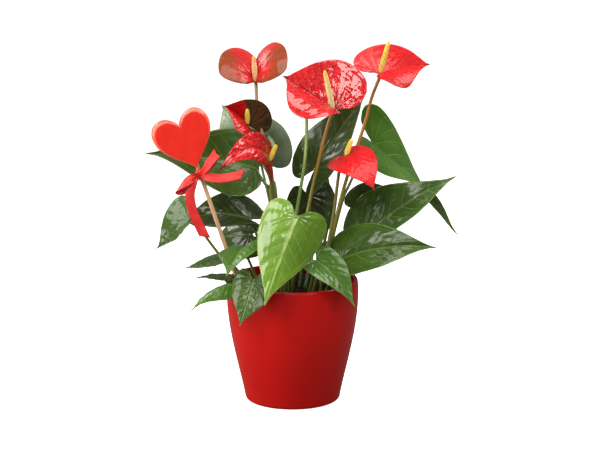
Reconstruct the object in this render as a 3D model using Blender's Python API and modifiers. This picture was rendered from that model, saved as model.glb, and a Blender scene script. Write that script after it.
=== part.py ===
"""A flowering anthurium in a glazed cover pot, with a wooden heart pick and its ribbon bow.

The origin is the middle of the cover pot's flat bottom, on the surface that it stands on.
+Z is up and -Y is the front. Tables are in millimetres, and MM turns them into metres.
"""

import math

import bmesh
import bpy
from mathutils import Matrix, Quaternion, Vector

MM = 0.001
GAP = 0.3  # left between pieces that touch

# Cover pot: a glazed, gently bellied cone with a rounded rim and a flat bottom.
POT_HEIGHT = 131.0
POT_FOOT_RADIUS = 50.0
POT_BELLY_RADIUS = 70.0
POT_BELLY_HEIGHT = 118.0
POT_WALL = 4.4
POT_FLOOR = 7.0
POT_FOOT_ROUND = 4.0

# Nursery pot: the thin plastic pot that the plant grew in, standing inside the cover pot.
LINER_TOP = 122.0
LINER_TOP_RADIUS = 60.0
LINER_FOOT_RADIUS = 42.0
LINER_WALL = 1.2
LINER_LIP = 2.4
LINER_LIP_DEPTH = 6.0
DRAIN_HOLES = 6
DRAIN_RADIUS = 4.5
DRAIN_CIRCLE = 28.0

# Potting soil: its top is a low mound.
SOIL_EDGE = 110.0
SOIL_CROWN = 113.0

# Heart pick: a painted wooden heart on a round stick that is pushed into the soil.
STICK_RADIUS = 2.2
STICK_FOOT = (-40.4, -4.0, 75.0)
STICK_TOP = (-100.6, -21.0, 262.0)
HEART_WIDTH = 62.0
HEART_HEIGHT = 60.0
HEART_DEPTH = 14.0
HEART_ROUND = 3.0
HEART_TIP = (-98.8, -20.8, 253.0)
HEART_UP = (-0.37, -0.06, 0.92)
HEART_FACE = (0.12, -1.0, 0.1)

# Half outlines from the tip to the notch at the stalk: share of the length, share of the half width.
LEAF_OUTLINE = (
    (1.0, 0.0),
    (0.90, 0.07),
    (0.76, 0.25),
    (0.57, 0.55),
    (0.36, 0.84),
    (0.13, 1.0),
    (-0.09, 0.93),
    (-0.22, 0.64),
    (-0.20, 0.30),
    (-0.08, 0.09),
)
SPATHE_OUTLINE = (
    (1.0, 0.0),
    (0.93, 0.07),
    (0.82, 0.28),
    (0.64, 0.62),
    (0.40, 0.91),
    (0.13, 1.0),
    (-0.13, 0.90),
    (-0.27, 0.62),
    (-0.25, 0.30),
    (-0.10, 0.10),
)
BLADE_COLUMNS = 14
BLADE_ROWS = 3
LEAF_THICKNESS = 1.0
SPATHE_THICKNESS = 1.0
NOTCH_ANGLE = 160.0
STALK_STEPS = 6
STALK_BOW = 0.12  # how much a stalk leans outward before it rises
COLLAR_LENGTH = 4.0  # the first, upright stretch out of the soil
KNEE_LENGTH = 5.0  # the last stretch, square to the blade
PETIOLE_RADIUS = 1.7
PEDUNCLE_RADIUS = 2.1

# Leaves. base is where the blade joins its stalk, tip is its point, and face is the way that its upper
# side looks. left and right give each half's rise from the midrib and how far it then rolls down, in
# degrees. arch bows the midrib up and sway bows it to the left, as shares of the length, and twist turns
# it towards the tip. lobes scales how far the blade reaches back behind its stalk. foot is where the
# stalk leaves the soil, and path is the points that it passes on its way to the blade.
LEAVES = {
    "leaf_front_large": dict(
        base=(4, -76, 212), tip=(-28, -99, 125), face=(-0.15, -0.95, 0.3), width=78,
        left=(-9, 53), right=(-5, 33), arch=0.01, sway=-0.03, lobes=0.6,
        foot=(-4, -36), path=(),
    ),
    "leaf_front_right": dict(
        base=(25, -54, 162), tip=(64, -77, 118), face=(0.1, -0.7, 0.7), width=48,
        left=(6, 22), right=(25, 3), arch=0.11, sway=0.08, twist=-4, lobes=0.52,
        foot=(16, -38), path=(),
    ),
    "leaf_right_low": dict(
        base=(52, -16, 155), tip=(151, -31, 170), face=(0, -0.8, 0.6), width=70,
        left=(9, 35), right=(25, -13), arch=0.16, sway=0.08, twist=25, lobes=0.55,
        foot=(34, -12), path=(),
    ),
    "leaf_right_high": dict(
        base=(77, 22, 175), tip=(173, 17, 237), face=(-0.25, -0.8, 0.5), width=75,
        left=(-3, 4), right=(24, -44), arch=0.24, sway=-0.04, twist=25, lobes=0.96,
        foot=(44, 6), path=(),
    ),
    "leaf_right_tall": dict(
        base=(86, 46, 266), tip=(179, 60, 163), face=(0.6, -0.4, 0.7), width=86,
        left=(21, -2), right=(40, 74), arch=-0.05, sway=0.17, twist=-58, lobes=0.99,
        foot=(30, 8), path=((50, 16, 201), (59, 24, 224), (68, 32, 241)),
    ),
    "leaf_right_back": dict(
        base=(73, 52, 199), tip=(113, 104, 201), face=(0.05, -0.85, 0.5), width=40,
        left=(26, 29), right=(6, 34), arch=0.14, sway=0.1, twist=8, lobes=0.97,
        foot=(44, 28), path=((62, 48, 172),),
    ),
    "leaf_back_hanging": dict(
        base=(16, 30, 213), tip=(16, 24, 142), face=(0.1, -1, 0.1), width=60,
        left=(-4, 20), right=(46, 25), arch=0.02, sway=0.09, twist=25, lobes=0.89,
        foot=(8, 36), path=((16, 42, 174), (18, 42, 201)),
    ),
    "leaf_back_upright": dict(
        base=(23, 24, 243), tip=(79, 36, 326), face=(-0.25, -0.95, 0.2), width=68,
        left=(-17, 11), right=(49, 0), arch=0.15, sway=-0.02, twist=23, lobes=0.95,
        foot=(14, 26), path=((26, 48, 172), (24, 50, 216)),
    ),
    "leaf_left_long": dict(
        base=(-40, 6, 248), tip=(-156, 25, 260), face=(0.05, -0.85, 0.5), width=78,
        left=(19, 11), right=(20, 9), arch=-0.09, sway=-0.11, twist=-25, lobes=0.63,
        foot=(-22, -2), path=((-24, 2, 217), (-28, 0, 231)),
    ),
    "leaf_left_pale": dict(
        base=(-37, 42, 253), tip=(-76, 67, 305), face=(0.2, -1, 0.1), width=80,
        left=(17, 21), right=(15, 18), arch=0.47, sway=0.01, twist=12, lobes=1.11,
        foot=(-12, 14), path=((-17, 12, 217), (-22, 34, 228), (-32, 52, 244)),
    ),
    "leaf_left_outer": dict(
        base=(-108, -12, 194), tip=(-143, -15, 165), face=(-0.6, -0.4, 0.7), width=66,
        left=(25, -3), right=(30, 12), arch=-0.15, sway=-0.19, twist=-14, lobes=1.02,
        foot=(-42, 3), path=((-63, -3, 140), (-78, -4, 158), (-97, -8, 185)),
    ),
    "leaf_left_middle": dict(
        base=(-45, 20, 190), tip=(-118, 28, 186), face=(0, -0.6, 0.8), width=68,
        left=(14, -54), right=(2, 26), arch=0.23, sway=-0.04, twist=-47, lobes=0.92,
        foot=(-26, 8), path=((-38, 10, 175),),
    ),
    "leaf_left_back": dict(
        base=(-46, 44, 168), tip=(-76, 100, 152), face=(-0.35, -0.85, 0.35), width=52,
        left=(5, 29), right=(-4, 103), arch=0.42, sway=0.06, twist=-25, lobes=0.99,
        foot=(-24, 30), path=(),
    ),
    "leaf_front_left_small": dict(
        base=(-50, -40, 173), tip=(-67, -89, 152), face=(-0.35, -0.5, 0.8), width=50,
        left=(26, 38), right=(3, 10), arch=0.14, sway=0.05, twist=-10, lobes=0.99,
        foot=(-32, -24), path=(),
    ),
    "leaf_left_low_back": dict(
        base=(-70, 20, 150), tip=(-115, 14, 138), face=(-0.2, -0.25, 0.95), width=38,
        left=(12, 2), right=(7, 34), arch=-0.03, sway=0.07, twist=-13,
        foot=(-43, 14), path=(),
    ),
    "leaf_left_rim": dict(
        base=(-68, -24, 137), tip=(-101, -25, 137), face=(0, 0, 1), width=26,
        left=(0, 10), right=(12, 17), arch=0.05, sway=0.01, twist=2,
        foot=(-38, -20), path=((-52, -21, 135),),
    ),
    "leaf_left_low_front": dict(
        base=(-65, -46, 135), tip=(-105, -64, 110), face=(-0.45, -0.25, 0.85), width=38,
        left=(-4, 55), right=(-12, 15), arch=0.15, sway=-0.05, lobes=0.6,
        foot=(-30, -34), path=((-45, -42, 135),),
    ),
    "leaf_front_left_rim": dict(
        base=(-40, -70, 145), tip=(-54, -88, 101), face=(-0.15, -0.9, 0.45), width=48,
        left=(9, 27), right=(7, 52), arch=0.05, sway=0.03, twist=3, lobes=0.99,
        foot=(-20, -42), path=(),
    ),
    "leaf_back_low": dict(
        base=(-6, 66, 166), tip=(-10, 142, 134), face=(0, 0.35, 1), width=64,
        left=(6, 34), right=(6, 34), arch=0.16,
        foot=(-4, 46), path=(),
    ),
    "leaf_back_right_low": dict(
        base=(48, 72, 150), tip=(90, 134, 130), face=(0.25, 0.25, 1), width=60,
        left=(6, 34), right=(6, 34), arch=0.16,
        foot=(30, 36), path=((37, 48, 138),),
    ),
    "leaf_back_high": dict(
        base=(34, 66, 254), tip=(56, 136, 220), face=(0.1, 0.45, 0.9), width=62,
        left=(6, 34), right=(6, 34), arch=0.16,
        foot=(24, 42), path=((40, 62, 190),),
    ),
    "leaf_back_left_high": dict(
        base=(-36, 66, 254), tip=(-70, 126, 218), face=(-0.2, 0.45, 0.9), width=62,
        left=(6, 34), right=(6, 34), arch=0.16,
        foot=(-14, 34), path=((-20, 42, 180),),
    ),
}

# Flowers: a spathe on its peduncle, with the spadix standing on the same point.
FLOWERS = {
    "flower_top_left": dict(
        base=(-39, 22, 337), tip=(-38, 86, 350), face=(-0.15, -0.5, 0.85), width=87,
        left=(63, 69), right=(61, 74), arch=0.28, sway=-0.03, twist=-2, lobes=0.52,
        foot=(-12, 3),
        path=((-19, -3, 218), (-21, -4, 232), (-24, -6, 264),
              (-32, 2, 286), (-37, 17, 314)),
        spadix=(-0.05, -0.05, 1), spadix_length=26,
    ),
    "flower_rolled": dict(
        base=(-47, 0, 295), tip=(-71, -8, 316), face=(-0.25, -0.55, 0.8), width=56,
        left=(43, 45), right=(7, 44), arch=0.12, sway=-0.13, twist=-21,
        foot=(-15, -12), path=((-21, -14, 220), (-22, -14, 234), (-27, -13, 260), (-36, -7, 280)),
        spadix=(0.4, -0.05, 0.9), spadix_length=20,
    ),
    "flower_arched_left": dict(
        base=(-24, -32, 262), tip=(-76, -78, 259), face=(-0.2, -0.85, 0.5), width=36,
        left=(-7, 38), right=(35, -1), arch=0.7, sway=-0.14, twist=19, lobes=0.5,
        foot=(-10, -24), path=((-22, -22, 222), (-22, -23, 238)),
        spadix=(0.4, 0.1, 0.9), spadix_length=17,
    ),
    "flower_front_large": dict(
        base=(42, -25, 314), tip=(-10, 5, 345), face=(0.4, -0.6, 0.7), width=99,
        left=(57, 93), right=(44, 1), arch=-0.01, sway=-0.04, twist=-24, lobes=0.92,
        foot=(-2, -16), path=((16, -20, 207), (25, -22, 251), (35, -24, 293)),
        spadix=(-0.2, -0.35, 0.95), spadix_length=45,
    ),
    "flower_top_right": dict(
        base=(91, 6, 348), tip=(144, 22, 355), face=(0, -0.35, 0.95), width=67,
        left=(19, -8), right=(26, 65), arch=-0.05, sway=0.21, twist=25, lobes=1.02,
        foot=(22, -5),
        path=((37, -4, 167), (43, -3, 184), (47, -2, 200), (56, 0, 236),
              (68, 4, 272), (76, 6, 296), (82, 8, 320)),
        spadix=(0.25, -0.15, 0.95), spadix_length=34,
    ),
    "flower_low_front": dict(
        base=(55, -38, 269), tip=(83, -86, 241), face=(0.1, -0.6, 0.8), width=47,
        left=(15, 11), right=(-19, 0), arch=0.27, sway=0.01, twist=-17, lobes=0.91,
        foot=(29, -22), path=((38, -26, 176), (42, -30, 201), (46, -34, 232), (48, -37, 252)),
        spadix=(0.35, 0.1, 0.95), spadix_length=16,
    ),
    "flower_bud": dict(
        base=(14, 20, 314), tip=(7, 18, 349), face=(0.1, -0.95, 0.15), width=32,
        left=(24, 6), right=(24, 6), arch=0.04,
        foot=(-8, 0), path=((4, -4, 200), (10, -4, 237), (13, -2, 258), (15, 10, 290)),
        spadix=(0, -0.8, 0.6), spadix_length=22,
    ),
}
SPADIX_RADIUS = 2.6
SPADIX_STEP = 1.6  # from the end of the stalk to the spadix
# Share of the spadix's length, share of its radius.
SPADIX_PROFILE = ((0.0, 0.4), (0.12, 0.8), (0.3, 1.0), (0.7, 0.84), (0.93, 0.62), (1.0, 0.28))

# Ribbon: satin, tied round the stick under the heart, with two loops and two tails.
RIBBON_WIDTH = 8.0
RIBBON_THICKNESS = 0.9
RIBBON_KNOT = (-95.9, -22.5, 247.0)
RIBBON_KNOT_RADIUS = 4.6
# Each strip's middle line, and the way its width lies.
RIBBON_STRIPS = {
    "left_loop": dict(
        line=((-96, -25, 247), (-103, -31, 244), (-112, -33, 238), (-118, -31, 232),
              (-114, -28, 231), (-105, -26, 237), (-97, -24, 245)),
        across=(-0.55, -0.35, -0.75),
    ),
    "right_loop": dict(
        line=((-95, -25, 247), (-89, -30, 255), (-82, -33, 265), (-78, -31, 270),
              (-80, -28, 266), (-86, -25, 256), (-93, -23, 248)),
        across=(0.5, -0.5, -0.7),
    ),
    "long_tail": dict(
        line=((-97, -25, 246), (-103, -31, 239), (-106, -33, 226), (-103, -33, 209),
              (-97, -32, 195), (-91, -32, 182)),
        across=(0.95, 0.1, 0.3),
    ),
    "side_tail": dict(
        line=((-95, -25, 247), (-87, -31, 246), (-75, -34, 247), (-62, -36, 250), (-50, -36, 254)),
        across=(0.1, 0.25, 0.95),
    ),
}

COLOURS = {
    "glazed_pot": ((0.48, 0.008, 0.012, 1.0), 0.12, 0.0),
    "nursery_plastic": ((0.02, 0.02, 0.02, 1.0), 0.5, 0.0),
    "potting_soil": ((0.04, 0.025, 0.015, 1.0), 0.95, 0.0),
    "leaf_green": ((0.035, 0.13, 0.02, 1.0), 0.35, 0.0),
    "spathe_red": ((0.62, 0.01, 0.015, 1.0), 0.25, 0.0),
    "spadix_yellow": ((0.75, 0.5, 0.06, 1.0), 0.5, 0.0),
    "stalk_green": ((0.16, 0.24, 0.05, 1.0), 0.4, 0.0),
    "heart_paint": ((0.78, 0.03, 0.015, 1.0), 0.35, 0.0),
    "stick_wood": ((0.62, 0.42, 0.22, 1.0), 0.6, 0.0),
    "satin_ribbon": ((0.7, 0.01, 0.012, 1.0), 0.35, 0.0),
}


def clear_scene():
    for obj in list(bpy.data.objects):
        bpy.data.objects.remove(obj, do_unlink=True)


def new_collection(name):
    collection = bpy.data.collections.new(name)
    bpy.context.scene.collection.children.link(collection)
    return collection


def material(name):
    found = bpy.data.materials.get(name)
    if found:
        return found
    colour, roughness, metallic = COLOURS[name]
    made = bpy.data.materials.new(name)
    made.use_nodes = True
    shader = made.node_tree.nodes["Principled BSDF"]
    shader.inputs["Base Color"].default_value = colour
    shader.inputs["Roughness"].default_value = roughness
    shader.inputs["Metallic"].default_value = metallic
    return made


def add_object(name, data, collection, finish=None):
    obj = bpy.data.objects.new(name, data)
    collection.objects.link(obj)
    if finish:
        data.materials.append(material(finish))
    return obj


def make_cutter(obj):
    """A helper that a Boolean reads and that isn't a part."""
    obj.hide_render = True
    obj.display_type = "WIRE"


def boolean(obj, other, operation):
    modifier = obj.modifiers.new(f"{operation.title()} {other.name}", "BOOLEAN")
    modifier.operation = operation
    modifier.object = other


def mesh_of_curve(obj, collection):
    """The curve's evaluated shape as a closed mesh object of the same name, in place of the curve."""
    graph = bpy.context.evaluated_depsgraph_get()
    mesh = bpy.data.meshes.new_from_object(obj.evaluated_get(graph))
    name, matrix = obj.name, obj.matrix_world.copy()
    bpy.data.objects.remove(obj, do_unlink=True)
    shape = bmesh.new()
    shape.from_mesh(mesh)
    bmesh.ops.remove_doubles(shape, verts=shape.verts, dist=0.00001)
    bmesh.ops.recalc_face_normals(shape, faces=shape.faces)
    shape.to_mesh(mesh)
    shape.free()
    made = bpy.data.objects.new(name, mesh)
    made.matrix_world = matrix
    collection.objects.link(made)
    return made


def smooth(obj, angle=40.0):
    obj.data.shade_smooth()
    obj.data.set_sharp_from_angle(angle=math.radians(angle))


# Turned pieces


def turned(name, profile, segments, finish, collection):
    """A profile of (radius, height) pairs in millimetres turned about Z."""
    mesh = bpy.data.meshes.new(name)
    points = [(radius * MM, 0.0, height * MM) for radius, height in profile]
    mesh.from_pydata(points, [(i, i + 1) for i in range(len(points) - 1)], [])
    obj = add_object(name, mesh, collection, finish)
    screw = obj.modifiers.new("Turn", "SCREW")
    screw.steps = screw.render_steps = segments
    screw.use_merge_vertices = True
    screw.merge_threshold = 0.0001
    screw.use_smooth_shade = True
    return obj


def arc(centre, radius, start, end, steps):
    """Points of (radius, height) on an arc, from start to end degrees."""
    angles = [math.radians(start + (end - start) * i / steps) for i in range(steps + 1)]
    return [(centre[0] + radius * math.cos(a), centre[1] + radius * math.sin(a)) for a in angles]


def pot_outer_radius(height):
    """The cover pot's outer radius at a height: steep at the foot, upright at the belly."""
    share = min(1.0, height / POT_BELLY_HEIGHT) ** 1.15
    return POT_FOOT_RADIUS + (POT_BELLY_RADIUS - POT_FOOT_RADIUS) * math.sin(share * math.pi / 2)


def make_pot(collection):
    half_wall = POT_WALL / 2
    rim_radius = POT_BELLY_RADIUS - half_wall - 0.8
    rim_arc = arc((rim_radius, POT_HEIGHT - half_wall), half_wall, 180, 0, 6)
    wall_heights = [112.0, 96.0, 80.0, 62.0, 44.0, 26.0, 12.0]
    inner_wall = [(pot_outer_radius(z) - POT_WALL, z) for z in reversed(wall_heights)]
    outer_wall = [(pot_outer_radius(z), z) for z in wall_heights]
    foot_centre = (pot_outer_radius(POT_FOOT_ROUND) - POT_FOOT_ROUND, POT_FOOT_ROUND)
    foot_arc = arc(foot_centre, POT_FOOT_ROUND, 0, -90, 3)
    profile = [(0.0, POT_FLOOR), (foot_centre[0] - 3.0, POT_FLOOR)]
    profile += inner_wall + rim_arc + outer_wall + foot_arc + [(0.0, 0.0)]
    return turned("cover_pot", profile, 44, "glazed_pot", collection)


def liner_radius(height):
    share = (height - POT_FLOOR) / (LINER_TOP - POT_FLOOR)
    return LINER_FOOT_RADIUS + (LINER_TOP_RADIUS - LINER_FOOT_RADIUS) * share


def make_nursery_pot(collection, cutters):
    bottom = POT_FLOOR + GAP
    inner_foot = LINER_FOOT_RADIUS - LINER_WALL
    lip_start = LINER_TOP - LINER_LIP_DEPTH
    profile = [
        (0.0, bottom + LINER_WALL),
        (inner_foot, bottom + LINER_WALL),
        (LINER_TOP_RADIUS - LINER_WALL, LINER_TOP),
        (LINER_TOP_RADIUS + LINER_LIP, LINER_TOP),
        (LINER_TOP_RADIUS + LINER_LIP, lip_start),
        (liner_radius(lip_start), lip_start),
        (LINER_FOOT_RADIUS, bottom),
        (0.0, bottom),
    ]
    liner = turned("nursery_pot", profile, 36, "nursery_plastic", collection)
    for i in range(DRAIN_HOLES):
        angle = 2 * math.pi * i / DRAIN_HOLES
        mesh = bpy.data.meshes.new(f"drain_hole_{i + 1}")
        shape = bmesh.new()
        place = Vector((math.cos(angle) * DRAIN_CIRCLE, math.sin(angle) * DRAIN_CIRCLE, bottom)) * MM
        bmesh.ops.create_cone(
            shape, cap_ends=True, segments=10, radius1=DRAIN_RADIUS * MM, radius2=DRAIN_RADIUS * MM,
            depth=6 * LINER_WALL * MM, matrix=Matrix.Translation(place),
        )
        shape.to_mesh(mesh)
        shape.free()
        hole = add_object(f"drain_hole_{i + 1}", mesh, cutters)
        make_cutter(hole)
        boolean(liner, hole, "DIFFERENCE")
    return liner


def soil_height(x, y):
    share = min(1.0, math.hypot(x, y) / LINER_TOP_RADIUS)
    return SOIL_CROWN - (SOIL_CROWN - SOIL_EDGE) * share * share


def make_soil(collection, stick_hole):
    bottom = POT_FLOOR + GAP + LINER_WALL + GAP
    side = LINER_WALL + GAP
    edge = liner_radius(SOIL_EDGE) - side - 0.2
    rings = [edge * share for share in (0.85, 0.55, 0.25)]
    profile = [(0.0, soil_height(0, 0))]
    profile += [(radius, soil_height(radius, 0)) for radius in reversed(rings)]
    profile += [(edge, SOIL_EDGE - 0.6), (liner_radius(bottom) - side - 0.2, bottom), (0.0, bottom)]
    soil = turned("potting_soil", profile, 32, "potting_soil", collection)
    boolean(soil, stick_hole, "DIFFERENCE")
    return soil


# Stalks


def spline_point(points, share):
    """A Catmull-Rom point through these points, share running from 0 to 1 over all of them."""
    spot = share * (len(points) - 1)
    i = min(int(spot), len(points) - 2)
    t = spot - i
    a, b = points[i], points[i + 1]
    before = points[i - 1] if i > 0 else a * 2 - b
    after = points[i + 2] if i + 2 < len(points) else b * 2 - a
    return (
        a * 2 + (b - before) * t + (before * 2 - a * 5 + b * 4 - after) * t * t
        + (a * 3 - before - b * 3 + after) * t * t * t
    ) / 2


def stalk_points(spec):
    """The middle line of a stalk, from the soil through its path to the blade, met squarely."""
    x, y = spec["foot"]
    foot = Vector((x, y, soil_height(x, y) + 0.5))
    end = Vector(spec["base"])
    knee = end - blade_normal(spec) * KNEE_LENGTH
    collar = foot + Vector((0.0, 0.0, COLLAR_LENGTH))
    way = [collar] + [Vector(point) for point in spec["path"]]
    if len(way) == 1:
        way.append(foot.lerp(knee, 0.45) + Vector((foot.x - knee.x, foot.y - knee.y, 0.0)) * STALK_BOW)
    way.append(knee)
    steps = max(STALK_STEPS, len(way))
    return [foot] + [spline_point(way, i / steps) for i in range(steps + 1)] + [end]


def tube(name, points, radii, collection, finish=None, resolution=2):
    """A round rod along points in millimetres, with a radius at each of them."""
    data = bpy.data.curves.new(name, "CURVE")
    data.dimensions = "3D"
    data.bevel_depth = MM
    data.bevel_resolution = resolution
    data.use_fill_caps = True
    spline = data.splines.new("POLY")
    spline.points.add(len(points) - 1)
    for spot, place, radius in zip(spline.points, points, radii):
        spot.co = (*(Vector(place) * MM), 1.0)
        spot.radius = radius
    return add_object(name, data, collection, finish)


def stalk(name, spec, radius, collection, finish=None):
    points = stalk_points(spec)
    last = len(points) - 1
    radii = [radius * (1.12 - 0.24 * i / last) for i in range(last)]
    return tube(name, points, radii + [radius * 0.95], collection, finish, resolution=1)


# Blades: leaves and spathes share one surface, with their own outlines and bends


def along_outline(outline, share):
    """A Catmull-Rom point on a half outline, share running from 0 at the tip to 1 at the notch."""
    spot = share * (len(outline) - 1)
    i = min(int(spot), len(outline) - 2)
    t = spot - i
    mirrored_tip = (outline[1][0], -outline[1][1])
    before = Vector(outline[i - 1]) if i > 0 else Vector(mirrored_tip)
    a, b = Vector(outline[i]), Vector(outline[i + 1])
    after = Vector(outline[i + 2]) if i + 2 < len(outline) else b * 2 - a
    return (
        a * 2 + (b - before) * t + (before * 2 - a * 5 + b * 4 - after) * t * t
        + (a * 3 - before - b * 3 + after) * t * t * t
    ) / 2


def blade_frame(spec, along):
    """The midrib's point there, its heading, and the directions to the blade's left and up from it."""
    base, tip = Vector(spec["base"]), Vector(spec["tip"])
    chord = tip - base
    forward = chord.normalized()
    face = Vector(spec["face"])
    up = (face - forward * face.dot(forward)).normalized()
    left = up.cross(forward)
    control = (base + tip) / 2 + (up * spec["arch"] + left * spec.get("sway", 0.0)) * chord.length
    bend = base - control * 2 + tip
    point = base + (control - base) * 2 * along + bend * along * along
    heading = (control - base + bend * along).normalized()
    side = (left - heading * left.dot(heading)).normalized()
    side.rotate(Quaternion(heading, math.radians(spec.get("twist", 0.0)) * along))
    return point, heading, side, heading.cross(side)


def blade_normal(spec):
    return blade_frame(spec, 0.0)[3]


def blade_point(spec, along, across):
    """A point of the middle surface: along is a share of the length, across is mm to the left."""
    point, heading, side, normal = blade_frame(spec, along)
    rise, roll = (math.radians(angle) for angle in (spec["left"] if across >= 0 else spec["right"]))
    distance, half = abs(across), spec["width"] / 2
    if abs(roll) < 0.001:
        outward, upward = distance * math.cos(rise), distance * math.sin(rise)
    else:
        bend = half / roll
        outward = bend * (math.sin(rise) - math.sin(rise - distance / bend))
        upward = bend * (math.cos(rise - distance / bend) - math.cos(rise))
    return point + side * math.copysign(outward, across) + normal * upward


def blade(name, spec, outline, inner, thickness, collection, finish):
    """A thin blade: a grid whose rows run from the stalk to the margin, bent and thickened."""
    bpy.ops.mesh.primitive_grid_add(x_subdivisions=BLADE_COLUMNS, y_subdivisions=BLADE_ROWS, size=2)
    obj = bpy.context.object
    obj.name = obj.data.name = name
    length, half = (Vector(spec["tip"]) - Vector(spec["base"])).length, spec["width"] / 2
    for vertex in obj.data.vertices:
        round_share = vertex.co.x
        out_share = (vertex.co.y + 1) / 2
        margin = along_outline(outline, abs(round_share))
        reach = margin.x * (spec.get("lobes", 1.0) if margin.x < 0 else 1.0)
        edge = Vector((reach * length, math.copysign(margin.y * half, round_share)))
        angle = math.radians(NOTCH_ANGLE) * round_share
        start = Vector((math.cos(angle), math.sin(angle))) * inner
        spot = start.lerp(edge, out_share)
        vertex.co = blade_point(spec, spot.x / length, spot.y) * MM
    for other in obj.users_collection:
        other.objects.unlink(obj)
    collection.objects.link(obj)
    obj.data.materials.append(material(finish))
    thicken = obj.modifiers.new("Thickness", "SOLIDIFY")
    thicken.thickness = thickness * MM
    thicken.offset = 0.0
    smooth(obj, 60)
    return obj


def make_leaf(name, spec, collection, cutters):
    """One leaf, grown in one piece: the blade joined to its stalk."""
    inner = PETIOLE_RADIUS * 0.75
    leaf = blade(name, spec, LEAF_OUTLINE, inner, LEAF_THICKNESS, collection, "leaf_green")
    petiole = stalk(f"{name}_petiole", spec, PETIOLE_RADIUS, cutters)
    petiole = mesh_of_curve(petiole, cutters)
    make_cutter(petiole)
    boolean(leaf, petiole, "UNION")
    return leaf


def spadix_line(spec):
    direction = Vector(spec["spadix"]).normalized()
    start = Vector(spec["base"]) + direction * SPADIX_STEP
    return [start + direction * spec["spadix_length"] * share for share, _ in SPADIX_PROFILE]


def make_flower(name, spec, collection, cutters):
    """A peduncle, the spathe that is notched round its end, and the spadix that stands on it."""
    spathe = blade(
        f"{name}_spathe", spec, SPATHE_OUTLINE, PEDUNCLE_RADIUS + GAP, SPATHE_THICKNESS,
        collection, "spathe_red",
    )
    stalk(f"{name}_stalk", spec, PEDUNCLE_RADIUS, collection, "stalk_green")
    line = spadix_line(spec)
    radii = [SPADIX_RADIUS * width for _, width in SPADIX_PROFILE]
    tube(f"{name}_spadix", line, radii, collection, "spadix_yellow")
    around = stalk_points(spec)[-4:] + line[:3]
    room = [PEDUNCLE_RADIUS + 2 * GAP] * 4 + [radius + 2 * GAP for radius in radii[:3]]
    notch = mesh_of_curve(tube(f"{name}_notch", around, room, cutters, resolution=1), cutters)
    make_cutter(notch)
    boolean(spathe, notch, "DIFFERENCE")


# Heart pick


def stick_between(name, start, end, radius, collection, finish=None):
    return tube(name, [start, end], [radius, radius], collection, finish)


def heart_outline():
    """The heart's outline with its point at the origin, in millimetres, anticlockwise."""
    steps = 26
    points = []
    for i in range(steps):
        t = 2 * math.pi * i / steps
        x = 16 * math.sin(t) ** 3
        y = 13 * math.cos(t) - 5 * math.cos(2 * t) - 2 * math.cos(3 * t) - math.cos(4 * t)
        points.append((-x * HEART_WIDTH / 32, (y + 17) * HEART_HEIGHT / 29))
    return points


def flatten_caps(obj):
    """Turn the filled ends of an extruded outline into single flat faces."""
    shape = bmesh.new()
    shape.from_mesh(obj.data)
    bmesh.ops.dissolve_limit(shape, angle_limit=math.radians(1), verts=shape.verts, edges=shape.edges)
    shape.to_mesh(obj.data)
    shape.free()


def make_heart(collection, stick_hole):
    data = bpy.data.curves.new("pick_heart", "CURVE")
    data.dimensions = "2D"
    data.fill_mode = "BOTH"
    data.extrude = HEART_DEPTH / 2 * MM
    outline = data.splines.new("POLY")
    points = heart_outline()
    outline.points.add(len(points) - 1)
    for spot, (x, y) in zip(outline.points, points):
        spot.co = (x * MM, y * MM, 0, 1)
    outline.use_cyclic_u = True
    heart = add_object("pick_heart", data, collection)
    up = Vector(HEART_UP).normalized()
    normal = (Vector(HEART_FACE) - up * up.dot(Vector(HEART_FACE))).normalized()
    turn = Matrix((up.cross(normal), up, normal)).transposed().to_4x4()
    heart.matrix_world = Matrix.Translation(Vector(HEART_TIP) * MM) @ turn
    bpy.context.view_layer.update()
    heart = mesh_of_curve(heart, collection)
    flatten_caps(heart)
    heart.data.materials.append(material("heart_paint"))
    edge = heart.modifiers.new("Rounded edge", "BEVEL")
    edge.width = HEART_ROUND * MM
    edge.segments = 2
    edge.limit_method = "ANGLE"
    edge.angle_limit = math.radians(60)
    boolean(heart, stick_hole, "DIFFERENCE")
    smooth(heart, 50)
    return heart


def ribbon_strip(name, spec, collection):
    """A flat strip along a line of points, its width lying across."""
    line = [Vector(point) for point in spec["line"]]
    across = Vector(spec["across"]).normalized()
    bpy.ops.mesh.primitive_grid_add(x_subdivisions=len(line) - 1, y_subdivisions=1, size=2)
    strip = bpy.context.object
    strip.name = strip.data.name = name
    for vertex in strip.data.vertices:
        i = round((vertex.co.x + 1) / 2 * (len(line) - 1))
        ahead = line[min(i + 1, len(line) - 1)] - line[max(i - 1, 0)]
        side = (across - ahead.normalized() * across.dot(ahead.normalized())).normalized()
        vertex.co = (line[i] + side * vertex.co.y * RIBBON_WIDTH / 2) * MM
    for other in strip.users_collection:
        other.objects.unlink(strip)
    collection.objects.link(strip)
    thicken = strip.modifiers.new("Thickness", "SOLIDIFY")
    thicken.thickness = RIBBON_THICKNESS * MM
    thicken.offset = 0.0
    return strip


def make_ribbon(collection, cutters, stick_hole):
    """The bow as one piece: loops and tails joined to the knot, with the stick's way cut through."""
    shape = bmesh.new()
    bmesh.ops.create_uvsphere(shape, u_segments=10, v_segments=7, radius=RIBBON_KNOT_RADIUS * MM)
    mesh = bpy.data.meshes.new("ribbon_bow")
    shape.to_mesh(mesh)
    shape.free()
    bow = add_object("ribbon_bow", mesh, collection, "satin_ribbon")
    bow.location = Vector(RIBBON_KNOT) * MM
    for name, spec in RIBBON_STRIPS.items():
        strip = ribbon_strip(f"ribbon_{name}", spec, cutters)
        make_cutter(strip)
        boolean(bow, strip, "UNION")
    boolean(bow, stick_hole, "DIFFERENCE")
    return bow


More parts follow.
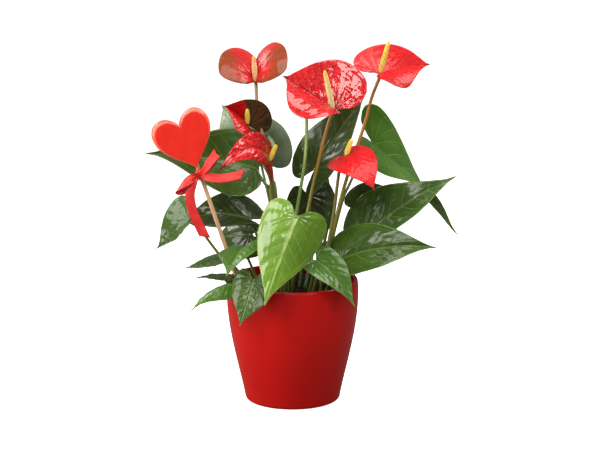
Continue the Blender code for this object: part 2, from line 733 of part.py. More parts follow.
def make_pick(collection, cutters):
    """The stick, the heart on its top and the bow under the heart. Returns the stick's clearance hole."""
    foot, top = Vector(STICK_FOOT), Vector(STICK_TOP)
    axis = (top - foot).normalized()
    stick_between("pick_stick", foot, top, STICK_RADIUS, collection, "stick_wood")
    hole = stick_between("stick_hole", foot - axis * GAP, top + axis * GAP, STICK_RADIUS + GAP, cutters)
    hole = mesh_of_curve(hole, cutters)
    make_cutter(hole)
    make_heart(collection, hole)
    make_ribbon(collection, cutters, hole)
    return hole


def main():
    clear_scene()
    parts = new_collection("potted_anthurium")
    cutters = new_collection("cutters")
    stick_hole = make_pick(parts, cutters)
    make_pot(parts)
    make_nursery_pot(parts, cutters)
    make_soil(parts, stick_hole)
    for name, spec in LEAVES.items():
        make_leaf(name, spec, parts, cutters)
    for name, spec in FLOWERS.items():
        make_flower(name, spec, parts, cutters)


main()
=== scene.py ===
import math

import bmesh
import bpy
import numpy as np
from mathutils import Matrix, Vector, noise


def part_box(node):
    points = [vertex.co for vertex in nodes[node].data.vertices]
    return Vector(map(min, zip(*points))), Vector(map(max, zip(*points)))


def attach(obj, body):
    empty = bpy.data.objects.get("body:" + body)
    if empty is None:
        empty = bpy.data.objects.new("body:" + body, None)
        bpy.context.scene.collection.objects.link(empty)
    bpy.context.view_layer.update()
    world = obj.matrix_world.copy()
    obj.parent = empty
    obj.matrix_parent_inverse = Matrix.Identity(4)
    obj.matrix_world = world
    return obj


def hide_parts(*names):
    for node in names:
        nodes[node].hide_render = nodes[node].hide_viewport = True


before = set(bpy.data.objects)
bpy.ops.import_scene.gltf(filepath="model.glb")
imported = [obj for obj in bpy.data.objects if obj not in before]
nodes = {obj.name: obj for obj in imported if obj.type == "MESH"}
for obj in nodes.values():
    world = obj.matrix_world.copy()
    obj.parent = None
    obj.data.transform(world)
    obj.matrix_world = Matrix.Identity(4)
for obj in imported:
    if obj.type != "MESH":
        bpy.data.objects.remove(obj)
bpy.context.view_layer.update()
mm = 0.001
goldenTurn = 137.508
print("frame loaded,", len(nodes), "nodes")


# node tree helpers: a value is a number, a colour or another node's output

def plug(tree, socket, value):
    if isinstance(value, bpy.types.NodeSocket):
        tree.links.new(value, socket)
    else:
        socket.default_value = value


def addNode(tree, kind, inputs=None, **settings):
    node = tree.nodes.new(kind)
    for name, value in settings.items():
        setattr(node, name, value)
    for name, value in (inputs or {}).items():
        plug(tree, node.inputs[name], value)
    return node


def calc(tree, operation, *values):
    node = addNode(tree, "ShaderNodeMath", operation=operation)
    for socket, value in zip(node.inputs, values):
        plug(tree, socket, value)
    return node.outputs[0]


def times(tree, first, second):
    return calc(tree, "MULTIPLY", first, second)


def nodeOut(tree, kind, inputs=None, **settings):
    return addNode(tree, kind, inputs, **settings).outputs[0]


def split(tree, vector):
    return addNode(tree, "ShaderNodeSeparateXYZ", {0: vector}).outputs


def joined(tree, x=0.0, y=0.0, z=0.0):
    return nodeOut(tree, "ShaderNodeCombineXYZ", {0: x, 1: y, 2: z})


def remap(tree, value, low, high, toLow=0.0, toHigh=1.0, smooth=True):
    node = addNode(tree, "ShaderNodeMapRange", interpolation_type="SMOOTHSTEP" if smooth else "LINEAR")
    for socket, item in zip(node.inputs, (value, low, high, toLow, toHigh)):
        plug(tree, socket, item)
    return node.outputs[0]


def mixColour(tree, share, first, second, blend="MIX"):
    node = addNode(tree, "ShaderNodeMix", data_type="RGBA", blend_type=blend)
    for index, item in ((0, share), (6, first), (7, second)):
        single = isinstance(item, (float, bpy.types.NodeSocket))
        plug(tree, node.inputs[index], item if single else (*item[:3], 1.0))
    return node.outputs[2]


def shaded(colour, share):
    return tuple(c * share for c in colour)


def newGroup(name, inputs, outputs, kind="ShaderNodeTree"):
    tree = bpy.data.node_groups.new(name, kind)
    for label, socketType, default in inputs:
        socket = tree.interface.new_socket(label, in_out="INPUT", socket_type=socketType)
        if default is not None:
            socket.default_value = default
    for label, socketType in outputs:
        tree.interface.new_socket(label, in_out="OUTPUT", socket_type=socketType)
    return tree, tree.nodes.new("NodeGroupInput").outputs, tree.nodes.new("NodeGroupOutput").inputs


floatSocket, vectorSocket, wholeSocket = "NodeSocketFloat", "NodeSocketVector", "NodeSocketInt"
geometrySocket, materialSocket = "NodeSocketGeometry", "NodeSocketMaterial"


# shader groups

def makeVeinGroup():
    # Map holds the vein number, the share of the half width, and the share of the way out to the margin
    tree, given, out = newGroup("bladeVeins", [
        ("Map", vectorSocket, None), ("Vein Width", floatSocket, 0.06), ("Midrib Width", floatSocket, 0.03),
        ("Margin Vein", floatSocket, 0.9),
    ], [("Veins", floatSocket), ("Midrib", floatSocket), ("Height", floatSocket)])
    part = split(tree, given["Map"])
    nearest = calc(tree, "PINGPONG", part[0], 0.5)
    width = times(tree, given["Vein Width"], remap(tree, part[1], 0.0, 1.0, 1.0, 0.4))
    side = remap(tree, nearest, width, times(tree, width, 0.15))
    side = times(tree, side, remap(tree, part[2], given["Margin Vein"], 0.99, 1.0, 0.0))
    loop = calc(tree, "ABSOLUTE", calc(tree, "SUBTRACT", part[2], given["Margin Vein"]))
    loop = remap(tree, loop, 0.012, 0.002, 0.0, 0.7)
    ribWidth = times(tree, given["Midrib Width"], remap(tree, part[2], 0.0, 1.0, 1.6, 0.5))
    rib = remap(tree, part[1], ribWidth, times(tree, ribWidth, 0.3))
    plug(tree, out["Veins"], calc(tree, "MAXIMUM", side, loop))
    plug(tree, out["Midrib"], rib)
    plug(tree, out["Height"], calc(tree, "MAXIMUM", calc(tree, "MAXIMUM", side, loop), rib))
    return tree


def makeNetGroup():
    # fine cells between the veins, drawn out a little unevenly
    tree, given, out = newGroup("fineNet", [
        ("Vector", vectorSocket, None), ("Cells", floatSocket, 420.0), ("Line", floatSocket, 0.12),
    ], [("Lines", floatSocket), ("Cell Tone", floatSocket)])
    wobble = addNode(tree, "ShaderNodeTexNoise", {"Vector": given["Vector"], "Scale": 160.0, "Detail": 2.0})
    moved = addNode(tree, "ShaderNodeVectorMath", operation="MULTIPLY_ADD")
    plug(tree, moved.inputs[0], wobble.outputs["Color"])
    moved.inputs[1].default_value = (0.004, 0.004, 0.004)
    plug(tree, moved.inputs[2], given["Vector"])
    cells = addNode(tree, "ShaderNodeTexVoronoi", {"Vector": moved.outputs[0], "Scale": given["Cells"]},
                    feature="DISTANCE_TO_EDGE")
    tones = addNode(tree, "ShaderNodeTexVoronoi", {"Vector": moved.outputs[0], "Scale": given["Cells"]})
    plug(tree, out["Lines"], remap(tree, cells.outputs["Distance"], given["Line"], 0.0))
    tone = nodeOut(tree, "ShaderNodeSeparateColor", {0: tones.outputs["Color"]})
    plug(tree, out["Cell Tone"], tone)
    return tree


def makeMottleGroup():
    tree, given, out = newGroup("softMottle", [
        ("Vector", vectorSocket, None), ("Scale", floatSocket, 40.0), ("Detail", floatSocket, 3.0),
        ("Low", floatSocket, 0.35), ("High", floatSocket, 0.65),
    ], [("Amount", floatSocket), ("Height", floatSocket)])
    cloud = addNode(tree, "ShaderNodeTexNoise", {
        "Vector": given["Vector"], "Scale": given["Scale"], "Detail": given["Detail"]}).outputs["Fac"]
    plug(tree, out["Amount"], remap(tree, cloud, given["Low"], given["High"]))
    plug(tree, out["Height"], cloud)
    return tree


veinGroup, netGroup, mottleGroup = makeVeinGroup(), makeNetGroup(), makeMottleGroup()


class Finish:
    # a material with its shader, its Object coordinates, and short calls for the shared groups

    def __init__(self, name, roughness, **constants):
        self.material = bpy.data.materials.new(name)
        self.material.use_nodes = True
        self.tree = self.material.node_tree
        self.shader = self.tree.nodes["Principled BSDF"]
        self.place = addNode(self.tree, "ShaderNodeTexCoord").outputs["Object"]
        self.set("Roughness", roughness)
        for label, value in constants.items():
            self.set(label.replace("_", " "), value)

    def set(self, label, value):
        plug(self.tree, self.shader.inputs[label], (*value[:3], 1.0) if isinstance(value, tuple) else value)

    def group(self, tree, **values):
        node = addNode(self.tree, "ShaderNodeGroup", node_tree=tree)
        for label, value in values.items():
            plug(self.tree, node.inputs[label.replace("_", " ")], value)
        return node.outputs

    def map(self, name):
        return addNode(self.tree, "ShaderNodeAttribute", attribute_name=name).outputs["Vector"]

    def mottle(self, scale, low=0.35, high=0.65, detail=3.0):
        return self.group(mottleGroup, Vector=self.place, Scale=scale, Low=low, High=high, Detail=detail)

    def bump(self, layers, distance=1.0):
        # layers: (height, its depth in metres)
        total = None
        for height, depth in layers:
            step = times(self.tree, height, depth)
            total = step if total is None else calc(self.tree, "ADD", total, step)
        node = addNode(self.tree, "ShaderNodeBump", {"Height": total, "Distance": distance, "Strength": 1.0})
        plug(self.tree, self.shader.inputs["Normal"], node.outputs["Normal"])


# finishes of the plant

# one leaf finish in lighter and darker copies: partly the leaves' own greens, partly painted light and shade,
# lighter for leaves out in the light and darker for leaves deep in the plant's shade
leafTones = {  # shade, light patches, veins, roughness, coat
    "freshLit": ((0.080, 0.185, 0.008), (0.125, 0.26, 0.014), (0.29, 0.40, 0.08), 0.36, 0.9),
    "bright": ((0.026, 0.088, 0.004), (0.050, 0.135, 0.007), (0.14, 0.25, 0.04), 0.36, 0.35),
    "mid": ((0.022, 0.062, 0.004), (0.042, 0.095, 0.008), (0.11, 0.18, 0.04), 0.34, 0.45),
    "deep": ((0.018, 0.033, 0.004), (0.031, 0.054, 0.007), (0.08, 0.12, 0.03), 0.34, 0.45),
    # pale: a painted glare, pale grey-green over the whole leaf and its underside
    "pale": ((0.15, 0.22, 0.11), (0.36, 0.43, 0.31), (0.09, 0.16, 0.06), 0.40, 0.5),
}


def makeLeafTop(tone):
    shade, light, vein, roughness, coat = leafTones[tone]
    leaf = Finish("leafTop_" + tone, roughness, Coat_Weight=coat, Coat_Roughness=0.13,
                  Specular_IOR_Level=0.15)
    tree = leaf.tree
    veins = leaf.group(veinGroup, Map=leaf.map("veinMap"), Vein_Width=0.055, Midrib_Width=0.045)
    net = leaf.group(netGroup, Vector=leaf.place, Cells=520.0)
    patches = leaf.mottle(28.0, 0.3, 0.7)
    fine = leaf.mottle(420.0, 0.3, 0.7, 4.0)
    colour = mixColour(tree, patches["Amount"], shade, light)
    colour = mixColour(tree, times(tree, fine["Amount"], 0.25), colour, shade)
    colour = mixColour(tree, times(tree, net["Lines"], 0.14), colour, vein)
    colour = mixColour(tree, times(tree, veins["Veins"], 0.75), colour, vein)
    colour = mixColour(tree, times(tree, veins["Midrib"], 0.8), colour, vein)
    outward = split(tree, leaf.map("veinMap"))[2]
    leaf.set("Base Color", mixColour(tree, remap(tree, outward, 0.955, 0.99, 0.0, 0.75), colour, vein))
    leaf.set("Roughness", remap(tree, fine["Height"], 0.3, 0.7, roughness - 0.05, roughness + 0.1))
    leaf.bump([(veins["Height"], -0.00022), (net["Lines"], -0.00003), (fine["Height"], 0.00004),
               (leaf.mottle(140.0)["Height"], 0.00026)])
    return leaf.material


def makeLeafUnder(tone):
    light, vein = leafTones[tone][1:3]
    under = Finish("leafUnder_" + tone, 0.5, Specular_IOR_Level=0.35)
    tree = under.tree
    veins = under.group(veinGroup, Map=under.map("veinMap"), Vein_Width=0.085, Midrib_Width=0.06)
    net = under.group(netGroup, Vector=under.place, Cells=520.0)
    base = mixColour(tree, under.mottle(60.0)["Amount"], light, mixColour(tree, 0.35, light, vein))
    base = mixColour(tree, 0.28, base, (0.24, 0.30, 0.17))
    base = mixColour(tree, times(tree, net["Lines"], 0.2), base, vein)
    under.set("Base Color", mixColour(tree, times(tree, veins["Height"], 0.7), base, vein))
    under.bump([(veins["Height"], 0.0004), (net["Lines"], 0.00008)])
    return under.material


spatheTones = {  # main red, deeper red, vein red, tint of the lobes and how much
    "scarlet": ((0.50, 0.006, 0.009), (0.42, 0.004, 0.006), (0.55, 0.004, 0.008), (0.60, 0.01, 0.012), 0.0),
    "speckled": ((0.52, 0.008, 0.011), (0.40, 0.005, 0.007), (0.50, 0.004, 0.008),
                 (0.10, 0.040, 0.006), 0.85),
    # olive: a dark olive-brown front, painted shade for a lobe that lies in shade
    "olive": ((0.075, 0.032, 0.008), (0.045, 0.026, 0.008), (0.16, 0.10, 0.02), (0.60, 0.01, 0.012), 0.0),
    "rosy": ((0.64, 0.010, 0.016), (0.50, 0.006, 0.010), (0.56, 0.006, 0.012), (0.60, 0.01, 0.012), 0.0),
}
spatheTipTone = (0.09, 0.007, 0.014)  # a dark red towards the point of a spathe


def makeSpatheFront(tone, blister):
    main, deep, vein, lobeTint, lobeAmount = spatheTones[tone]
    spathe = Finish(f"spatheFront_{tone}_{int(blister * 100)}", 0.3, Coat_Weight=0.1 + 0.9 * blister,
                    Coat_Roughness=0.16 - 0.12 * blister, Specular_IOR_Level=0.12)
    tree = spathe.tree
    veinMap = spathe.map("veinMap")
    veins = spathe.group(veinGroup, Map=veinMap, Vein_Width=0.10, Midrib_Width=0.035)
    pale = spathe.mottle(45.0)
    fine = spathe.mottle(300.0, 0.3, 0.7, 4.0)
    dimples = spathe.group(netGroup, Vector=spathe.place, Cells=230.0, Line=0.35)
    part = split(tree, veinMap)
    outward = joined(tree, times(tree, part[0], 3.2), times(tree, part[2], 7.0))
    streaks = spathe.group(mottleGroup, Vector=outward, Scale=1.0, Low=0.38, High=0.6)
    colour = mixColour(tree, pale["Amount"], main, deep)
    colour = mixColour(tree, times(tree, veins["Height"], 0.7), colour, vein)
    if lobeAmount:
        lobes = times(tree, remap(tree, part[0], 0.6, -1.6), remap(tree, part[2], 0.2, 0.85))
        cells = remap(tree, dimples["Cell Tone"], 0.0, 1.0, 0.75, 1.0)
        lobes = times(tree, lobes, times(tree, cells, lobeAmount))
        colour = mixColour(tree, lobes, colour, lobeTint)
    point = remap(tree, part[0], 5.0, 5.9, 0.0, 0.85)
    spathe.set("Base Color", mixColour(tree, point, colour, spatheTipTone))
    smoothest = 0.34 - 0.14 * blister
    spathe.set("Roughness", remap(tree, fine["Height"], 0.3, 0.7, smoothest, smoothest + 0.1))
    spathe.bump([(dimples["Lines"], -0.0006 * blister), (veins["Height"], -0.0008 * blister),
                 (streaks["Amount"], 0.0009 * blister), (spathe.mottle(190.0)["Height"], 0.0014 * blister),
                 (fine["Height"], 0.00008)])
    return spathe.material


def makeSpatheBack(name, main, vein):
    back = Finish(name, 0.42, Coat_Weight=0.15, Coat_Roughness=0.3)
    tree = back.tree
    veins = back.group(veinGroup, Map=back.map("veinMap"), Vein_Width=0.08, Midrib_Width=0.05)
    colour = mixColour(tree, back.mottle(50.0)["Amount"], main, shaded(main, 0.7))
    back.set("Base Color", mixColour(tree, times(tree, veins["Height"], 0.6), colour, vein))
    back.bump([(veins["Height"], 0.0004), (back.mottle(200.0)["Height"], 0.0006)])
    return back.material


def makeStalkFinish(name, low, high):
    # stalkMap: share of the way up, share of a turn, and 1 on the swelling under a blade
    stalk = Finish(name, 0.36, Coat_Weight=0.12, Coat_Roughness=0.2)
    tree = stalk.tree
    part = split(tree, stalk.map("stalkMap"))
    colour = mixColour(tree, remap(tree, part[0], 0.25, 0.85), low, high)
    lengthwise = joined(tree, times(tree, part[1], 26.0), times(tree, part[0], 5.0))
    streaks = stalk.group(mottleGroup, Vector=lengthwise, Scale=1.0, Low=0.3, High=0.7)
    colour = mixColour(tree, times(tree, streaks["Amount"], 0.45), colour, shaded(low, 0.55))
    colour = mixColour(tree, times(tree, part[2], 0.5), colour, (0.28, 0.36, 0.10))
    stalk.set("Base Color", colour)
    stalk.bump([(streaks["Height"], 0.0002), (stalk.mottle(500.0)["Height"], 0.00008)])
    return stalk.material


def makeSpadixFinish(name, foot, middle, top):
    spadix = Finish(name, 0.45, Subsurface_Weight=0.15, Subsurface_Scale=0.002)
    tree = spadix.tree
    share = split(tree, spadix.map("spadixMap"))
    colour = mixColour(tree, remap(tree, share[0], 0.05, 0.5), foot, middle)
    colour = mixColour(tree, remap(tree, share[0], 0.6, 1.0), colour, top)
    # painted shade: darker the deeper a point lies between the florets
    colour = mixColour(tree, remap(tree, share[1], 0.9, 0.2, 0.0, 0.6), colour, shaded(middle, 0.6))
    colour = mixColour(tree, times(tree, share[2], 0.25), colour, (0.9, 0.8, 0.35))
    spadix.set("Base Color", colour)
    spadix.bump([(spadix.mottle(900.0)["Height"], 0.0001)])
    return spadix.material


# finishes of the pot, the soil and the pick

def makeGlaze():
    glaze = Finish("redGlaze", 0.3, Coat_Weight=0.08, Coat_Roughness=0.12, Specular_IOR_Level=0.18)
    tree = glaze.tree
    clouds = glaze.mottle(9.0, 0.3, 0.7)
    specks = glaze.mottle(700.0, 0.62, 0.75, 2.0)
    colour = mixColour(tree, clouds["Amount"], (0.50, 0.0060, 0.005), (0.43, 0.0048, 0.004))
    colour = mixColour(tree, times(tree, specks["Amount"], 0.12), colour, (0.22, 0.004, 0.004))
    glaze.set("Base Color", colour)
    glaze.set("Roughness", remap(tree, clouds["Height"], 0.3, 0.7, 0.3, 0.4))
    glaze.bump([(glaze.mottle(55.0)["Height"], 0.00012), (glaze.mottle(260.0)["Height"], 0.00003)])
    return glaze.material


def makePlastic():
    plastic = Finish("nurseryPlastic", 0.45)
    tree = plastic.tree
    scuffs = plastic.mottle(90.0, 0.5, 0.8, 6.0)
    plastic.set("Base Color", mixColour(tree, scuffs["Amount"], (0.012, 0.012, 0.013), (0.03, 0.028, 0.026)))
    plastic.set("Roughness", remap(tree, scuffs["Height"], 0.3, 0.7, 0.38, 0.6))
    plastic.bump([(plastic.mottle(900.0)["Height"], 0.00006)])
    return plastic.material


def makeSoilFinish(name, dark, light):
    soil = Finish(name, 0.95, Specular_IOR_Level=0.2)
    crumbs = soil.mottle(260.0, 0.35, 0.7, 6.0)
    soil.set("Base Color", mixColour(soil.tree, crumbs["Amount"], dark, light))
    soil.bump([(crumbs["Height"], 0.0012), (soil.mottle(900.0)["Height"], 0.0003)])
    return soil.material


def makeHeartPaint():
    # heartMap: 1 on the flat face, 0 on the rounded edge
    paint = Finish("heartPaint", 0.34, Coat_Weight=0.25, Coat_Roughness=0.25)
    tree = paint.tree
    face = split(tree, paint.map("heartMap"))
    edgeHighlightPatches = paint.mottle(60.0, 0.4, 0.65, 5.0)
    brushed = nodeOut(tree, "ShaderNodeMapping", {
        "Vector": paint.place, "Scale": (60.0, 400.0, 60.0), "Rotation": (0.0, 0.4, 0.0)})
    strokes = paint.group(mottleGroup, Vector=brushed, Scale=1.0, Low=0.4, High=0.7)
    colour = mixColour(tree, strokes["Amount"], (0.80, 0.020, 0.009), (0.74, 0.016, 0.009))
    # painted highlight: the rounded edge is painted a lighter, pinker red than the face, in uneven patches
    edge = mixColour(tree, edgeHighlightPatches["Amount"], (0.83, 0.14, 0.085), (0.80, 0.07, 0.04))
    paint.set("Base Color", mixColour(tree, remap(tree, face[0], 0.35, 0.75), edge, colour))
    paint.bump([(strokes["Height"], 0.00012), (paint.mottle(700.0)["Height"], 0.00005)])
    return paint.material


def makeWood():
    wood = Finish("stickWood", 0.6)
    tree = wood.tree
    along = split(tree, wood.map("stalkMap"))
    lengthwise = joined(tree, times(tree, along[1], 14.0), times(tree, along[0], 9.0))
    grain = wood.group(mottleGroup, Vector=lengthwise, Scale=2.0, Low=0.3, High=0.7, Detail=6.0)
    wood.set("Base Color", mixColour(tree, grain["Amount"], (0.72, 0.47, 0.27), (0.52, 0.30, 0.15)))
    wood.bump([(grain["Height"], 0.0002)])
    return wood.material


def makeSatin():
    # ribbonMap: metres along the ribbon, share of its width
    satin = Finish("ribbonSatin", 0.34, Anisotropic=0.6, Sheen_Weight=0.15, Sheen_Roughness=0.4)
    tree = satin.tree
    part = split(tree, satin.map("ribbonMap"))
    threads = calc(tree, "SINE", times(tree, part[0], 2 * math.pi / 0.0005))
    weft = calc(tree, "SINE", times(tree, part[1], 2 * math.pi * 18))
    edge = remap(tree, calc(tree, "ABSOLUTE", calc(tree, "SUBTRACT", part[1], 0.5)), 0.42, 0.46)
    colour = mixColour(tree, satin.mottle(90.0)["Amount"], (0.80, 0.014, 0.012), (0.66, 0.008, 0.008))
    satin.set("Base Color", mixColour(tree, times(tree, edge, 0.5), colour, (0.40, 0.004, 0.005)))
    satin.bump([(threads, 0.00003), (weft, 0.00003), (edge, 0.00015),
                (satin.mottle(150.0)["Height"], 0.0006)])
    return satin.material


# mesh helpers

def makePiece(name, points, faces, materials, slots=None, maps=None, smooth=True):
    mesh = bpy.data.meshes.new(name)
    mesh.from_pydata([tuple(p) for p in points], [], [tuple(int(i) for i in f) for f in faces])
    for label, values in (maps or {}).items():
        layer = mesh.attributes.new(label, "FLOAT_VECTOR", "POINT")
        layer.data.foreach_set("vector", np.asarray(values, np.float32).ravel())
    for material in materials:
        mesh.materials.append(material)
    if slots is not None:
        mesh.polygons.foreach_set("material_index", np.asarray(slots, np.int32))
    mesh.polygons.foreach_set("use_smooth", [smooth] * len(mesh.polygons))
    mesh.update()
    piece = bpy.data.objects.new(name, mesh)
    bpy.context.scene.collection.objects.link(piece)
    return piece


def settle(piece, slot, *replaced):
    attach(piece, "root")
    if replaced:
        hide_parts(*replaced)
    return piece


def facesOut(piece):
    shape = bmesh.new()
    shape.from_mesh(piece.data)
    bmesh.ops.recalc_face_normals(shape, faces=shape.faces)
    shape.to_mesh(piece.data)
    shape.free()
    return piece


def bakedMesh(piece):
    # the mesh with its modifiers' work in it
    return bpy.data.meshes.new_from_object(piece.evaluated_get(bpy.context.evaluated_depsgraph_get()))


def bodyFaces(rings, n):
    # a closed body's faces: a first point, rings of n points each, and a last point
    faces, last = [], 1 + rings * n
    for k in range(n):
        m = (k + 1) % n
        faces.append((0, 1 + k, 1 + m))
        for a in range(1, last - n, n):
            faces.append((a + k, a + n + k, a + n + m, a + m))
        faces.append((last - n + k, last, last - n + m))
    return faces


def cadPoints(nodeName):
    return np.array([v.co for v in nodes[nodeName].data.vertices])


def catmull(points, shares):
    # smooth places through the points, the shares running from 0 to 1 over all of them
    p = np.asarray(points, float)
    p = np.vstack([2 * p[0] - p[1], p, 2 * p[-1] - p[-2]])
    spot = np.clip(np.asarray(shares, float), 0, 1) * (len(points) - 1)
    i = np.minimum(spot.astype(int), len(points) - 2)
    t = (spot - i)[:, None]
    a, b, c, d = p[i], p[i + 1], p[i + 2], p[i + 3]
    square, cube = 2 * a - 5 * b + 4 * c - d, 3 * b - a - 3 * c + d
    return 0.5 * (2 * b + (c - a) * t + square * t ** 2 + cube * t ** 3)


def unit(v):
    v = np.asarray(v, float)
    return v / np.maximum(np.linalg.norm(v, axis=-1, keepdims=True), 1e-12)


def sweep(line, radii, sides):
    # a round rod along a line: points, faces, share along and share of a turn
    line = np.asarray(line, float)
    heading = unit(np.gradient(line, axis=0))
    side = unit(np.cross(heading[0], (0.31, 0.83, 0.2)))
    rings = []
    for i in range(len(line)):
        side = unit(side - heading[i] * side.dot(heading[i]))
        other = np.cross(heading[i], side)
        for k in range(sides):
            turn = 2 * math.pi * k / sides
            rings.append(line[i] + (side * math.cos(turn) + other * math.sin(turn)) * radii[i])
    faces = []
    for i in range(len(line) - 1):
        for k in range(sides):
            n = (k + 1) % sides
            faces.append((i * sides + k, i * sides + n, (i + 1) * sides + n, (i + 1) * sides + k))
    last = (len(line) - 1) * sides
    faces.append(tuple(reversed(range(sides))))
    faces.append(tuple(last + k for k in range(sides)))
    step = np.repeat(np.linspace(0, 1, len(line)), sides)
    turn = np.tile(np.arange(sides) / sides, len(line))
    return np.array(rings), faces, step, turn


# where each stalk and blade is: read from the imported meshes

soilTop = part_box("potting_soil")[1].z
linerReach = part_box("nursery_pot")[1].x


def readStalk(nodeName):
    # the middle line of a stalk, from the ring of points where it leaves the soil up to its blade,
    # and every point of the node that is past that
    shape = bmesh.new()
    shape.from_mesh(nodes[nodeName].data)
    bmesh.ops.remove_doubles(shape, verts=shape.verts, dist=1e-6)
    ring = {v for v in shape.verts if v.co.z < soilTop + 1 * mm and v.co.xy.length < linerReach}
    seen, line = set(), []
    while ring:
        middle = sum((v.co for v in ring), Vector()) / len(ring)
        reach = [(v.co - middle).length for v in ring]
        if len(ring) != 6 or max(reach) > 1.4 * min(reach):
            break
        line.append(np.array(middle))
        seen |= ring
        ring = {e.other_vert(v) for v in ring for e in v.link_edges} - seen
    rest = np.array([v.co for v in shape.verts if v not in seen])
    shape.free()
    return line, rest


def farthest(points, start):
    # the end of a thin blade: the middle of the points that are as far away as any
    away = np.linalg.norm(points - start, axis=1)
    return points[away > away.max() - 0.6 * mm].mean(axis=0)


# blades: a leaf or a spathe is one surface with its own outline and bends

blade = {
    "columns": 96, "rows": 34, "thickness": 0.7, "midribThickness": 0.9,
    "notchAngle": 160.0, "kneeLength": 5.0, "kneeSteps": 3,
    "leafOutline": ((1, 0), (.90, .07), (.76, .25), (.57, .55), (.36, .84), (.13, 1), (-.09, .93),
                    (-.22, .64), (-.20, .30), (-.08, .09)),
    "spatheOutline": ((1, 0), (.93, .07), (.82, .28), (.64, .62), (.40, .91), (.13, 1), (-.13, .90),
                      (-.27, .62), (-.25, .30), (-.10, .10)),
}


def bladeFrame(shape, base, tip, along):
    # the midrib's place, its heading, and the directions to the blade's left and up from it
    along = np.atleast_1d(along)[:, None]
    length = np.linalg.norm(tip - base)
    forward = (tip - base) / length
    face = np.array(shape["face"], float)
    up = unit(face - forward * face.dot(forward))
    left = np.cross(up, forward)
    control = (base + tip) / 2 + (up * shape["arch"] + left * shape.get("sway", 0.0)) * length
    bend = base - control * 2 + tip
    place = base + (control - base) * 2 * along + bend * along ** 2
    heading = unit(control - base + bend * along)
    side = unit(left - heading * (heading @ left)[:, None])
    turn = np.radians(shape.get("twist", 0.0)) * along
    side = side * np.cos(turn) + np.cross(heading, side) * np.sin(turn)
    return place, heading, side, np.cross(heading, side)


def bladePlaces(shape, base, tip, along, across):
    # along is a share of the length, across is metres to the left
    place, _, side, normal = bladeFrame(shape, base, tip, along)
    toLeft = across >= 0
    rise = np.radians(np.where(toLeft, shape["left"][0], shape["right"][0]))
    roll = np.radians(np.where(toLeft, shape["left"][1], shape["right"][1]))
    distance, half = np.abs(across), shape["width"] / 2 * mm
    roll = np.where(np.abs(roll) < 0.001, 0.001, roll)
    bend = half / roll
    outward = bend * (np.sin(rise) - np.sin(rise - distance / bend))
    upward = bend * (np.cos(rise - distance / bend) - np.cos(rise))
    return place + side * np.copysign(outward, across)[:, None] + normal * upward[:, None]


def outlineAt(outline, shares):
    points = np.array(outline, float)
    mirrored = np.vstack([points[1] * (1, -1), points])
    return catmull(mirrored, (np.asarray(shares) * (len(points) - 1) + 1) / len(points))


def veinNumbers(along, across, length, half, veins):
    # whole numbers lie on veins: up from 0 along the midrib, down from 0 round the base into the lobes
    x, y = along * length, np.abs(across)
    x = x - 0.28 * y ** 2 / half
    lean = math.radians(veins["lean"])
    pinnate = (x - y / math.tan(lean)) / length * veins["pairs"]
    angle = np.arctan2(y, x)
    basal = -(angle - lean) / math.radians(veins["basalStep"])
    return np.where(pinnate > 0, pinnate, np.where(angle > lean, basal, pinnate))


